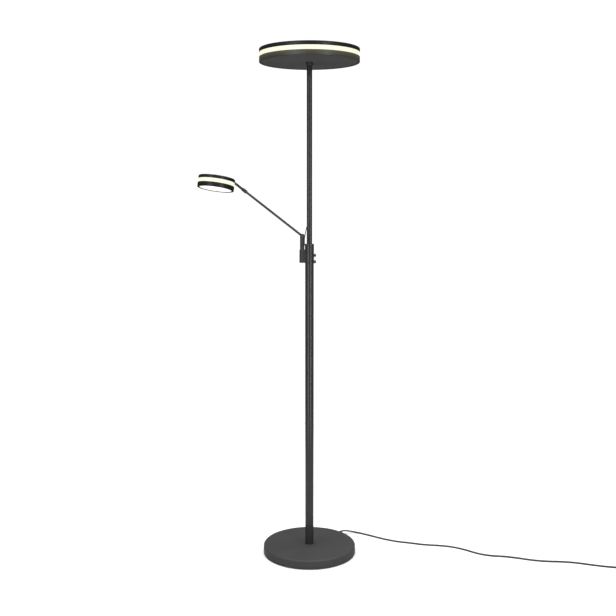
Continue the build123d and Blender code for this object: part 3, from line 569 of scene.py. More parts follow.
def prism(name: str, outline: Sequence[Point], place: Matrix, low: float, high: float,
          low_edge: float = 0.0, high_edge: float = 0.0,
          keep_sharp: Callable[[float, float], bool] | None = None) -> Thing:
    """Raise an outline into a block with rounded lower and upper edges.

    Args:
        name: The piece's name.
        outline: The outline's points in millimetres, counter-clockwise.
        place: The seat whose Z axis it rises along.
        low: Where it starts.
        high: Where it ends.
        low_edge: The rounding of the lower edge.
        high_edge: The rounding of the upper edge.
        keep_sharp: Says which stretches of the outline get no rounding, from a point on them.

    Returns:
        The piece.
    """
    shape = bmesh.new()
    rings = [[shape.verts.new((x, y, height)) for x, y in outline] for height in (low, high)]
    shape.faces.new(reversed(rings[0]))
    shape.faces.new(rings[1])
    count = len(outline)
    for step in range(count):
        after = (step + 1) % count
        shape.faces.new((rings[0][step], rings[0][after], rings[1][after], rings[1][step]))
    for height, rounding in ((low, low_edge), (high, high_edge)):
        edges = []
        for edge in shape.edges:
            middle = (edge.verts[0].co + edge.verts[1].co) / 2
            flat = all(abs(vert.co.z - height) < NEARLY_NONE for vert in edge.verts)
            if flat and not (keep_sharp and keep_sharp(middle.x, middle.y)):
                edges.append(edge)
        if rounding > 0:
            bmesh.ops.bevel(shape, geom=edges, offset=rounding, offset_type="OFFSET", segments=4,
                            profile=0.5, affect="EDGES", clamp_overlap=True)
    bmesh.ops.recalc_face_normals(shape, faces=shape.faces)
    bmesh.ops.transform(shape, matrix=place @ Matrix.Scale(MM, 4), verts=shape.verts)
    return piece_of(name, shape)


def bar(name: str, place: Matrix, radius: float, low: float, high: float, rounding: float = 0.0,
        segments: int = 48) -> Thing:
    """A round bar along a seat's Z axis, in millimetres."""
    corners = [(0, low, 0), (radius, low, rounding), (radius, high, rounding), (0, high, 0)]
    return turned(name, corners, place, segments)


def block(name: str, place: Matrix, size: Place, centre: Place) -> Thing:
    """A square-edged block in a seat's frame, in millimetres, for use as a tool."""
    half_x, half_y = size[0] / 2, size[1] / 2
    outline = [(centre[0] + x, centre[1] + y)
               for x, y in ((-half_x, -half_y), (half_x, -half_y), (half_x, half_y), (-half_x, half_y))]
    return prism(name, outline, place, centre[2] - size[2] / 2, centre[2] + size[2] / 2)


def worked(piece: Thing, steps: Sequence[tuple[Work, Thing]]) -> Thing:
    """Join, cut or trim a piece with tool solids, which are used up.

    Args:
        piece: The piece to work on.
        steps: What each tool does, in order.

    Returns:
        The same piece with its new mesh.
    """
    for work, tool in steps:
        modifier = piece.modifiers.new(work.value, "BOOLEAN")
        modifier.operation = work.value
        modifier.solver = "EXACT"
        modifier.object = tool
    graph = bpy.context.evaluated_depsgraph_get()
    mesh = bpy.data.meshes.new_from_object(piece.evaluated_get(graph))
    piece.modifiers.clear()
    rough = piece.data
    piece.data = mesh
    bpy.data.meshes.remove(rough)
    for _, tool in steps:
        bpy.data.meshes.remove(tool.data)
    smooth(mesh)
    return piece


def dress(piece: Thing, finish: Finish, body: Body, slot: Slot, *nodes: str) -> Thing:
    """Give a piece its finish and its place in the lamp.

    Args:
        piece: The piece, already in place.
        finish: Its surface.
        body: The body it moves with.
        slot: The record's slot that it takes its finish from; not used.
        nodes: The frame's nodes that it stands for.

    Returns:
        The piece.
    """
    piece.data.materials.clear()
    piece.data.materials.append(finish.material())
    if "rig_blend" not in piece:
        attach(piece, body.value)
    if nodes:
        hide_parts(*nodes)
    log.info("made %s on %s", piece.name, body.value)
    return piece


def cord_line(name: str, points: Sequence[Place], radius: float = 0.0) -> Thing:
    """One smooth open line over given points.

    Args:
        name: The piece's name.
        points: The route's points in metres.
        radius: The cord's radius in metres, or none for a bare line.

    Returns:
        The curve object.
    """
    curve = bpy.data.curves.new(name, "CURVE")
    curve.dimensions = "3D"
    spline = curve.splines.new("NURBS")
    spline.points.add(len(points) - 1)
    for control, point in zip(spline.points, points):
        control.co = (*point, 1.0)
    spline.order_u = 3
    spline.use_endpoint_u = True
    curve.resolution_u = 8
    curve.bevel_depth = radius
    curve.bevel_resolution = 6
    curve.use_fill_caps = radius > 0
    line = bpy.data.objects.new(name, curve)
    bpy.context.scene.collection.objects.link(line)
    return line


def points_along(line: Thing) -> list[Vector]:
    """The points of a bare line, as its curve gives them."""
    graph = bpy.context.evaluated_depsgraph_get()
    mesh = bpy.data.meshes.new_from_object(line.evaluated_get(graph))
    places = [vert.co.copy() for vert in mesh.vertices]
    bpy.data.meshes.remove(mesh)
    return places


def tube(name: str, path: Sequence[Vector], radius: float, sides: int = 20) -> Thing:
    """A round tube of skin along a path, closed at both ends.

    Args:
        name: The piece's name.
        path: The path's points in metres.
        radius: The tube's radius in metres.
        sides: How many sides it has.

    Returns:
        The piece.
    """
    rings = []
    aside = Vector((1, 0, 0))
    for index, spot in enumerate(path):
        along = (path[min(index + 1, len(path) - 1)] - path[max(index - 1, 0)]).normalized()
        aside = (aside - along * aside.dot(along)).normalized()
        over = along.cross(aside)
        turns = [2 * pi * side / sides for side in range(sides)]
        rings.append([spot + (aside * cos(turn) + over * sin(turn)) * radius for turn in turns])
    return solid(name, rings, False)


# ---------------------------------------------------------------- studio
@dataclass(frozen=True)
class Softbox:
    """A rectangular soft light: its place and aim in metres, its width and height, its power in watts."""

    name: str
    place: Place
    aim: Place
    size: tuple[float, float]
    power: float

    def hang(self) -> None:
        """Hang the light. One that stands beside the lamp faces level, whatever the height of its aim."""
        light = bpy.data.lights.new(self.name, "AREA")
        light.shape = "RECTANGLE"
        light.size, light.size_y = self.size
        light.energy = self.power
        holder = bpy.data.objects.new(self.name, light)
        holder.location = self.place
        toward = Vector(self.aim) - Vector(self.place)
        if abs(toward.x) + abs(toward.y) > 0.5:
            toward.z = 0.0
        holder.rotation_euler = toward.to_track_quat("-Z", "Y").to_euler()
        bpy.context.scene.collection.objects.link(holder)


@dataclass
class Studio:
    """The camera, the pale floor and the soft lights."""

    camera_place: Place = (-0.0051, -3.1421, 1.2782)
    camera_pitch: float = 83.18
    lens: float = 51.911
    sensor: float = 36.0
    floor_reach: float = 9.0
    floor_sides: int = 96
    floor_tones: tuple[Colour, Colour] = ((0.86, 0.86, 0.86), (0.89, 0.89, 0.89))
    mirrored_tones: tuple[Colour, Colour] = ((0.34, 0.34, 0.34), (0.36, 0.36, 0.36))
    fade_start: float = 1.15
    fade_end: float = 2.1
    light_strength: float = 0.07
    seen_strength: float = 1.05
    softboxes: tuple[Softbox, ...] = (
        Softbox("left softbox", (-1.9, -3.0, 0.75), (0.0, 0.0, 1.0), (1.1, 4.4), 54.0),
        Softbox("right softbox", (2.15, -2.85, 0.75), (0.0, 0.0, 1.0), (0.6, 4.4), 54.0),
        Softbox("overhead softbox", (0.0, 0.0, 4.2), (0.0, 0.0, 0.0), (5.2, 5.2), 375.0),
    )

    def build(self) -> None:
        """Set up the camera, the floor, the white surroundings and the lights."""
        self.build_camera()
        self.build_floor()
        self.build_surroundings()
        for softbox in self.softboxes:
            softbox.hang()

    def build_camera(self) -> None:
        """Place the camera at standing height, looking slightly down."""
        camera = bpy.data.objects.new("camera", bpy.data.cameras.new("camera"))
        camera.location = self.camera_place
        camera.rotation_euler = (radians(self.camera_pitch), 0.0, 0.0)
        camera.data.lens = self.lens
        camera.data.sensor_width = self.sensor
        bpy.context.scene.collection.objects.link(camera)
        bpy.context.scene.camera = camera
        bpy.context.scene.view_settings.view_transform = "Standard"

    def build_floor(self) -> None:
        """Lay a matt floor that fades into the white surroundings.

        The floor is pale where it is seen, darker in the lamp's own reflections, and clear from below.
        """
        turns = [2 * pi * step / self.floor_sides for step in range(self.floor_sides)]
        shape = bmesh.new()
        shape.faces.new([shape.verts.new((self.floor_reach * cos(turn), self.floor_reach * sin(turn), 0.0))
                         for turn in turns])
        floor = piece_of("floor", shape)
        bench = NodeBench("pale floor")
        pale = bench.tone(bench.grain(3.0), *self.floor_tones)
        mirrored = bench.tone(bench.grain(3.0), *self.mirrored_tones)
        mix, ray = bench.tree.nodes.new("ShaderNodeMix"), bench.tree.nodes.new("ShaderNodeLightPath")
        mix.data_type = "RGBA"
        bench.join(ray.outputs["Is Glossy Ray"], mix.inputs["Factor"])
        bench.join(pale, mix.inputs[MIX_FIRST])
        bench.join(mirrored, mix.inputs[MIX_SECOND])
        bench.join(mix.outputs[MIX_RESULT], bench.shader.inputs["Base Color"])
        fade = bench.span(bench.reach((0.0, 0.0, 0.0)), 1.0, 0.0, self.fade_start, self.fade_end)
        under = bench.tree.nodes.new("ShaderNodeNewGeometry").outputs["Backfacing"]
        bench.join(bench.sum(fade, under, -1.0), bench.shader.inputs["Alpha"])
        bench.fix(Roughness=0.9, Specular_IOR_Level=0.1)
        floor.data.materials.append(bench.material)

    def build_surroundings(self) -> None:
        """Surround the lamp with white that is seen at full strength and lights it more gently."""
        world = bpy.data.worlds.new("white surroundings")
        bpy.context.scene.world = world
        world.use_nodes = True
        tree = world.node_tree
        tree.nodes.clear()
        gentle, seen = tree.nodes.new("ShaderNodeBackground"), tree.nodes.new("ShaderNodeBackground")
        gentle.inputs["Strength"].default_value = self.light_strength
        seen.inputs["Strength"].default_value = self.seen_strength
        for background in (gentle, seen):
            background.inputs["Color"].default_value = (1.0, 1.0, 1.0, 1.0)
        mix, output = tree.nodes.new("ShaderNodeMixShader"), tree.nodes.new("ShaderNodeOutputWorld")
        ray = tree.nodes.new("ShaderNodeLightPath")
        tree.links.new(ray.outputs["Is Camera Ray"], mix.inputs["Fac"])
        tree.links.new(gentle.outputs[0], mix.inputs[1])
        tree.links.new(seen.outputs[0], mix.inputs[2])
        tree.links.new(mix.outputs[0], output.inputs["Surface"])


# ---------------------------------------------------------------- mains cord
@dataclass
class MainsCord:
    """The mains cord from its gland over the floor to a tied coil, and its plug."""

    radius: float = 0.003
    length: float = 1.8
    gland_azimuth: float = 52.0
    gland_height: float = 0.016
    gland_tip: float = 0.2005
    floor_line: float = 0.0031
    coil_centre: tuple[float, float] = (1.150, -0.1235)
    coil_outer: float = 0.033
    coil_inner: float = 0.027
    layers: tuple[float, float] = (0.0042, 0.0102)
    turn_points: int = 18
    coil_degrees: int = 1170
    moves_in: tuple[int, int] = (290, 340)
    climbs: tuple[int, int] = (590, 650)
    moves_out: tuple[int, int] = (890, 950)
    tie_azimuth: float = 135.0
    tie_reach: float = 0.030
    tie_height: float = 0.0072
    pin_offset: float = 9.3
    face: float = 34.0
    plug_steps: int = 64
    tail_ribs: int = 4
    gland_ribs: int = 7
    plug_x: float = 1.183
    plug_back: float = -0.0145
    plug_height: float = 0.00695
    plug_tail: float = 0.016
    floor_route: tuple[tuple[float, float], ...] = (
        (0.201, 0.172), (0.236, 0.1475), (0.283, 0.113), (0.330, 0.0875), (0.377, 0.075), (0.428, 0.056),
        (0.482, 0.0495), (0.531, 0.0365), (0.575, 0.009), (0.613, -0.028), (0.657, -0.0485),
        (0.706, -0.054), (0.754, -0.0695), (0.802, -0.090), (0.854, -0.0995), (0.907, -0.102),
        (0.957, -0.1135), (1.006, -0.133), (1.055, -0.148), (1.104, -0.1565),
    )

    def toward(self, reach: float) -> Place:
        """The point on the gland's axis at a distance from the pole's axis."""
        turn = radians(self.gland_azimuth)
        return (reach * cos(turn), reach * sin(turn), self.gland_height)

    def lane(self, turned_by: float) -> Place:
        """Where the coil's cord lies after turning by an angle in degrees.

        The cord winds in on the floor's layer, outer lane first, then climbs and winds out on top.
        """
        def eased(start: float, end: float) -> float:
            share = min(1.0, max(0.0, (turned_by - start) / (end - start)))
            return share * share * (3 - 2 * share)

        inward, climb, outward = eased(*self.moves_in), eased(*self.climbs), eased(*self.moves_out)
        reach = self.coil_outer + (self.coil_inner - self.coil_outer) * (inward - outward)
        height = self.layers[0] + (self.layers[1] - self.layers[0]) * climb
        turn = radians(turned_by - 90)
        return (self.coil_centre[0] + reach * cos(turn), self.coil_centre[1] + reach * sin(turn), height)

    def route(self) -> list[Place]:
        """Every point of the cord's line, from inside the gland to inside the plug's tail."""
        points = [self.toward(self.gland_tip - 0.010), self.toward(self.gland_tip + 0.0105)]
        points += [(0.148, 0.1775, 0.011), (0.173, 0.1835, 0.0044)]
        points += [(x, y, self.floor_line) for x, y in self.floor_route]
        steps = int(self.coil_degrees / (360 / self.turn_points))
        points += [self.lane(self.coil_degrees * step / steps) for step in range(steps + 1)]
        x, y = self.plug_x, self.coil_centre[1]
        points += [(x - 0.0004, y + 0.022, 0.009), (x - 0.0016, y + 0.044, 0.0046)]
        points += [(x - 0.001, y + 0.066, 0.0042), (x, self.plug_back - 0.025, self.plug_height)]
        points += [(x, self.plug_back - self.plug_tail + 0.002, self.plug_height)]
        return points

    def build_plug(self) -> list[Thing]:
        """Make the flat two-pin plug with its ribbed tail, and its part-sleeved pins."""
        back = Vector((self.plug_x, self.plug_back, self.plug_height))
        place = seat(back, Vector((0, 1, 0)), Vector((1, 0, 0)))
        sections = [(-16.0, 3.4, 3.4, 2.0), (-15.6, 3.8, 3.8, 2.0)]
        for rib in range(self.tail_ribs):
            start = -13.6 + 3.4 * rib
            swell = 3.9 + 0.18 * rib
            waist = swell - 0.55
            sections += [(start, swell, swell, 2.0), (start + 0.3, waist, waist, 2.0),
                         (start + 1.1, waist, waist, 2.0), (start + 1.4, swell, swell, 2.0)]
        sections += [(0.6, 5.6, 4.65, 2.3), (4.0, 8.4, 5.3, 2.6), (9.0, 11.4, 6.2, 3.0),
                     (14.0, 13.5, 6.75, 3.4), (20.0, 15.3, 6.85, 3.8), (26.0, 16.5, 6.85, 4.0),
                     (31.0, 17.0, 6.85, 4.2), (33.3, 17.0, 6.85, 4.4), (33.8, 16.8, 6.6, 4.4),
                     (self.face, 16.3, 6.1, 4.4)]
        rings = []
        for along, half_width, half_depth, square in sections:
            ring = []
            for step in range(self.plug_steps):
                turn = 2 * pi * step / self.plug_steps
                c, s = cos(turn), sin(turn)
                x = half_width * abs(c) ** (2 / square) * (1 if c >= 0 else -1)
                y = half_depth * abs(s) ** (2 / square) * (1 if s >= 0 else -1)
                ring.append(place @ (Vector((x, y, along)) * MM))
            rings.append(ring)
        plug = dress(solid("mains_plug_body", rings, False), Finishes.plastic, Body.LAMP, Slot.PLASTIC,
                     "mains_plug")
        made = [plug]
        for side, x in (("left", -self.pin_offset), ("right", self.pin_offset)):
            pin_place = place @ Matrix.Translation(Vector((x, 0, self.face)) * MM)
            pin = [(0, 0, 0), (1.85, 0, 0), (1.85, 9.8, 0), (2.0, 10.0, 0.1), (2.0, 19.0, 1.0), (0, 19.0, 0)]
            nodes = ("plug_pins",) if side == "left" else ()
            made.append(dress(turned(f"plug_pin_{side}", pin, pin_place, 40), Finishes.brass, Body.LAMP,
                              Slot.PINS, *nodes))
            sleeve = [(1.86, 0.02, 0), (2.0, 0.02, 0), (2.0, 9.8, 0.1), (1.86, 9.8, 0)]
            made.append(dress(turned(f"plug_pin_sleeve_{side}", sleeve, pin_place, 40), Finishes.plastic,
                              Body.LAMP, Slot.PLASTIC))
        return made

    def build_tie(self) -> Thing:
        """Make the strap that holds the coil."""
        turn = radians(self.tie_azimuth)
        middle = Vector((self.coil_centre[0] + self.tie_reach * cos(turn),
                         self.coil_centre[1] + self.tie_reach * sin(turn), self.tie_height))
        place = seat(middle, Vector((-sin(turn), cos(turn), 0)), Vector((cos(turn), sin(turn), 0)))
        outer = rounded([(-7.5, -6.9, 1.8), (7.5, -6.9, 1.8), (7.5, 6.9, 1.8), (-7.5, 6.9, 1.8)])
        inner = rounded([(-6.6, -6.0, 1.0), (6.6, -6.0, 1.0), (6.6, 6.0, 1.0), (-6.6, 6.0, 1.0)])
        strap = worked(prism("coil_tie", outer, place, -5.0, 5.0, 0.2, 0.2),
                       [(Work.CUT, prism("tie_bore", inner, place, -6.0, 6.0))])
        return dress(strap, Finishes.nylon, Body.LAMP, Slot.PLASTIC, "cord_tie")

    def build_gland(self) -> Thing:
        """Make the ribbed, tapered strain relief where the cord leaves the base."""
        turn = radians(self.gland_azimuth)
        place = seat(Vector((0, 0, self.gland_height)), Vector((cos(turn), sin(turn), 0)), Vector((0, 0, 1)))
        corners = [(3.02, 163.4, 0), (7.0, 163.4, 0.2), (7.0, 165.7, 0), (4.9, 165.7, 0), (4.9, 167.6, 0),
                   (6.5, 167.6, 0.2), (6.5, 170.4, 0.8), (5.2, 171.6, 0)]
        for rib in range(self.gland_ribs):
            start = 173.0 + 3.6 * rib
            swell = 5.15 - 0.17 * rib
            waist = swell - 0.65
            corners += [(swell, start, 0.15), (waist, start + 0.4, 0.1), (waist, start + 1.5, 0.1),
                        (swell - 0.06, start + 1.9, 0.15)]
        corners += [(3.9, 200.2, 0.3), (3.02, 200.5, 0)]
        return dress(turned("cord_strain_relief", corners, place, 56), Finishes.plastic, Body.LAMP,
                     Slot.PLASTIC, "cord_gland")

    def build(self) -> None:
        """Make the cord in one piece with its coil, and everything on it."""
        cord = dress(cord_line("mains_cord", self.route(), self.radius), Finishes.cord, Body.LAMP, Slot.CORD,
                     "power_cord", "cord_coil", "cord_end")
        on_it = self.build_plug() + [self.build_tie()]
        self.build_gland()


# ---------------------------------------------------------------- reading lead
@dataclass
class ReadingLead:
    """The thin lead that loops from the pole's cap into the swivel post."""

    radius: float = 0.0015
    length: float = 0.163
    route: tuple[Place, ...] = (
        (-0.0069, -0.0097, 1.1275), (-0.0069, -0.0097, 1.137), (-0.0046, -0.014, 1.149),
        (-0.0034, -0.0205, 1.161), (-0.0036, -0.0262, 1.175), (-0.0052, -0.0276, 1.1876),
        (-0.0066, -0.0219, 1.1946), (-0.0082, -0.0134, 1.1946), (-0.010, -0.0079, 1.188),
        (-0.013, -0.0069, 1.175), (-0.0162, -0.0066, 1.160), (-0.0179, -0.006, 1.144),
        (-0.0174, -0.0058, 1.130), (-0.0188, -0.0052, 1.1215), (-0.0225, -0.0022, 1.1165),
    )

    def build(self) -> None:
        """Make the lead as a tube that bends between the lamp and the post."""
        line = cord_line("reading_lead_line", self.route)
        path = points_along(line)
        bpy.data.objects.remove(line)
        lead = tube("reading_lead_loop", path, self.radius, 18)
        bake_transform(lead, Body.LAMP.value, Body.POST.value, start=(-0.0179, -0.0057, 1.1311),
                 end=(-0.0210, -0.0037, 1.1186))
        dress(lead, Finishes.cord, Body.LAMP, Slot.CORD, "reading_lead")


# ---------------------------------------------------------------- base and pole
@dataclass
class Base:
    """The weighted disc that the lamp stands on."""

    radius: float = 167.5
    height: float = 32.0
    wall: float = 1.5
    edge: float = 5.0
    skirt_bottom: float = 1.0
    pad_radius: float = 161.0
    pad_thickness: float = 2.0
    pole_hole: float = 15.3

    def build(self) -> None:
        """Make the cover with its rounded edge, and the pad under it."""
        inner, top = self.radius - self.wall, self.height - self.wall
        cover = [(self.pole_hole, top, 0), (self.pole_hole, self.height, 0.4),
                 (self.radius, self.height, self.edge), (self.radius, self.skirt_bottom, 0.5),
                 (inner, self.skirt_bottom, 0.3), (inner, top, self.edge - self.wall)]
        dress(turned("base_disc", cover, upright(), 256), Finishes.base_coat, Body.LAMP, Slot.METAL,
              "base_cover")
        pad = [(0, 0, 0), (self.pad_radius, 0, 0.6), (self.pad_radius, self.pad_thickness, 0.3),
               (0, self.pad_thickness, 0)]
        dress(turned("base_foam_pad", pad, upright(), 192), Finishes.foam, Body.LAMP, Slot.FOAM, "base_pad")


@dataclass
class Pole:
    """The two-stage pole with the dimmer housing between its stages."""

    lower_radius: float = 15.25
    lower_bore: float = 13.75
    upper_radius: float = 9.5
    upper_bore: float = 8.3
    housing_radius: float = 16.0
    foot: float = 16.0
    housing_bottom: float = 1062.0
    housing_top: float = 1127.5
    cap_top: float = 1130.5
    upper_bottom: float = 1104.0
    upper_top: float = 1752.0
    housing_bore: float = 14.2
    stop_bore: float = 12.9
    spigot_radius: float = 13.74
    spigot_length: float = 25.0
    cap_skirt: float = 24.0
    cap_bore: float = 9.52
    dimmer_heights: tuple[float, float] = (1090.0, 1067.5)
    lead_outlet: tuple[float, float] = (-6.9, -9.7)

    def build(self) -> None:
        """Make the tubes, the housing, its cap and the lead's grommet."""
        lower = [(self.lower_bore, self.foot, 0), (self.lower_radius, self.foot, 0.3),
                 (self.lower_radius, self.housing_bottom, 0.35), (self.lower_bore, self.housing_bottom, 0)]
        dress(turned("lower_pole_tube", lower, upright(), 128), Finishes.tube_coat, Body.LAMP, Slot.METAL,
              "lower_pole")
        upper = [(self.upper_bore, self.upper_bottom, 0), (self.upper_radius, self.upper_bottom, 0.2),
                 (self.upper_radius, self.upper_top, 0.2), (self.upper_bore, self.upper_top, 0)]
        dress(turned("upper_pole_tube", upper, upright(), 112), Finishes.tube_coat, Body.LAMP, Slot.METAL,
              "upper_pole")
        self.build_housing()
        self.build_cap()

    def build_housing(self) -> None:
        """Make the dimmer housing with a hole for each dimmer, and the nuts that hold them."""
        shelf, spigot_end = self.housing_bottom + 1.5, self.housing_bottom - self.spigot_length
        housing = [(self.housing_bore, shelf, 0), (self.stop_bore, shelf, 0), (self.stop_bore, spigot_end, 0),
                   (self.spigot_radius, spigot_end, 0.2), (self.spigot_radius, self.housing_bottom, 0),
                   (self.housing_radius, self.housing_bottom, 0.45),
                   (self.housing_radius, self.housing_top, 0.2), (self.housing_bore, self.housing_top, 0)]
        holes = [(Work.CUT, bar("dimmer_hole", self.across(height), 3.55, 8.0, 20.0, 0, 32))
                 for height in self.dimmer_heights]
        dress(worked(turned("dimmer_housing_tube", housing, upright(), 128), holes), Finishes.tube_coat,
              Body.LAMP, Slot.METAL, "dimmer_housing")
        for label, height in zip(("head", "reading"), self.dimmer_heights):
            nut = [(3.5, 15.7, 0), (5.0, 15.7, 0.1), (5.0, 16.5, 0.25), (3.5, 16.5, 0.1)]
            dress(turned(f"{label}_dimmer_nut", nut, self.across(height), 48), Finishes.steel, Body.LAMP,
                  Slot.STEEL)

    def across(self, height: float) -> Matrix:
        """The seat at a height whose Z axis points to the knobs' side."""
        return seat(Vector((0, 0, height)) * MM, Vector((1, 0, 0)), Vector((0, 0, 1)))

    def build_cap(self) -> None:
        """Make the cap that closes the housing round the upper tube, and the lead's grommet."""
        bottom = self.housing_top - self.cap_skirt
        cap = [(self.cap_bore, bottom, 0), (14.18, bottom, 0.3), (14.18, self.housing_top, 0),
               (self.housing_radius, self.housing_top + 0.05, 0.2), (self.housing_radius, self.cap_top, 1.1),
               (self.cap_bore, self.cap_top, 0.3)]
        outlet = upright(*self.lead_outlet, 0.0)
        hole = (Work.CUT, bar("lead_hole", outlet, 2.2, bottom - 1, self.cap_top + 1, 0, 32))
        dress(worked(turned("pole_top_cap", cap, upright(), 128), [hole]), Finishes.tube_coat, Body.LAMP,
              Slot.METAL, "pole_cap")
        bore, low, high = 1.52, self.cap_top - 3.0, self.cap_top + 1.0
        grommet = [(bore, low, 0), (2.19, low, 0), (2.19, self.cap_top, 0), (2.35, self.cap_top, 0.05),
                   (2.2, high, 0.3), (bore, high, 0.2)]
        dress(turned("lead_outlet_grommet", grommet, outlet, 40), Finishes.plastic, Body.LAMP, Slot.PLASTIC,
              "lead_grommet")


@dataclass
class DimmerKnob:
    """A fluted, slightly conical rotary knob."""

    label: str
    height: float
    body: Body
    flutes: int = 24
    flute_depth: float = 0.28
    grip_start: float = 18.3
    grip_end: float = 22.9

    def flute(self, angle: float, along: float) -> float:
        """How deep the grip is cut at an angle and a distance from the pole's axis."""
        if not self.grip_start < along < self.grip_end:
            return 0.0
        return self.flute_depth * (0.5 - 0.5 * cos(self.flutes * angle)) ** 2

    def build(self) -> None:
        """Make the knob with its skirt, fluted grip and dished end."""
        place = seat(Vector((0, 0, self.height)) * MM, Vector((1, 0, 0)), Vector((0, 0, 1)))
        knob = [(2.02, 17.0, 0), (6.6, 17.0, 0.15), (6.6, 18.2, 0.3), (6.2, 18.45, 0), (5.5, 20.0, 0),
                (4.9, 21.6, 0), (4.35, 22.85, 0), (4.25, 23.4, 0.35), (2.9, 23.4, 0.15), (2.7, 23.05, 0),
                (0, 23.0, 0), (0, 21.9, 0), (2.02, 21.9, 0)]
        dress(turned(f"{self.label}_knob", knob, place, 192, self.flute), Finishes.plastic, self.body,
              Slot.PLASTIC, f"{self.label}_dimmer_knob")


# ---------------------------------------------------------------- uplighter head
@dataclass
class UplighterHead:
    """The wide disc on top: two black rings, the lit band between them and the lit top."""

    radius: float = 173.8
    wall: float = 2.2
    bottom: float = 1754.6
    band_bottom: float = 1771.9
    band_top: float = 1786.4
    top: float = 1800.0
    lip: float = 7.3
    hub_radius: float = 11.5
    hub_bottom: float = 1733.0
    pole_stop: float = 1752.0
    band_wall: float = 3.4
    band_inset: float = 0.2
    plate_bottom: float = 1756.4
    plate_top: float = 1757.4
    diffuser_bottom: float = 1796.2
    diffuser_top: float = 1798.4

    def build(self) -> None:
        """Make the rings, the band, the underside, the top diffuser and the hub."""
        self.build_rings()
        self.build_panels()
        self.build_hub()

    def build_rings(self) -> None:
        """Make the two black rings and the lit band between them."""
        inner, opening = self.radius - self.wall, self.radius - self.lip
        lower = [(opening, self.bottom, 0.3), (self.radius, self.bottom, 1.2),
                 (self.radius, self.band_bottom, 0.25), (inner, self.band_bottom, 0),
                 (inner, self.bottom + 1.8, 0), (opening, self.bottom + 1.8, 0)]
        # The lower rim's coat carries the painted glow from the band.
        dress(turned("head_lower_rim", lower, upright(), 320), Finishes.ring_coat_painted_glow, Body.LAMP, Slot.METAL,
              "head_lower_ring")
        upper = [(inner, self.band_top, 0), (self.radius, self.band_top, 0.25), (self.radius, self.top, 1.3),
                 (opening, self.top, 0.5), (opening, self.top - 1.6, 0), (inner, self.top - 1.6, 0)]
        # The top rim takes the darker coat, which is painted shade.
        dress(turned("head_top_rim", upper, upright(), 320), Finishes.shade_darkened_coat, Body.LAMP, Slot.METAL,
              "head_top_ring")
        back, front = self.radius - self.band_wall, self.radius - self.band_inset
        band = [(back, self.band_bottom, 0), (front, self.band_bottom, 0.2), (front, self.band_top, 0.2),
                (back, self.band_top, 0)]
        dress(turned("head_light_band", band, upright(), 320), Finishes.band, Body.LAMP, Slot.BAND,
              "light_band")

    def build_panels(self) -> None:
        """Make the underside's plate and the lit top."""
        inner = self.radius - self.wall
        plate = [(5.1, self.plate_bottom, 0), (inner, self.plate_bottom, 0), (inner, self.plate_top, 0),
                 (5.1, self.plate_top, 0)]
        # The underside plate takes the lightened coat, which is painted floor bounce.
        dress(turned("head_underside_plate", plate, upright(), 256), Finishes.bounce_lit_plate_coat, Body.LAMP,
              Slot.METAL, "head_bottom_plate")
        diffuser = [(0, self.diffuser_bottom, 0), (inner, self.diffuser_bottom, 0),
                    (inner, self.diffuser_top, 0), (0, self.diffuser_top, 0)]
        glow = LitPanel("lit top diffuser", centre=(0.0, 0.0, 1.7984), radius=0.1716)
        dress(turned("head_top_diffuser", diffuser, upright(), 256), glow, Body.LAMP, Slot.DIFFUSER,
              "top_diffuser")

    def build_hub(self) -> None:
        """Make the collar that holds the head on the upper tube."""
        hub = [(3.4, self.hub_bottom, 0), (8.28, self.hub_bottom, 0.3), (8.28, self.pole_stop, 0),
               (9.52, self.pole_stop, 0), (9.52, 1744.5, 0), (10.0, 1744.5, 0),
               (self.hub_radius, 1746.0, 0.5), (self.hub_radius, self.plate_bottom, 0),
               (5.0, self.plate_bottom, 0), (5.0, 1766.5, 0.3), (3.4, 1766.5, 0)]
        dress(turned("head_hub_collar", hub, upright(), 96), Finishes.coat, Body.LAMP, Slot.METAL, "head_hub")


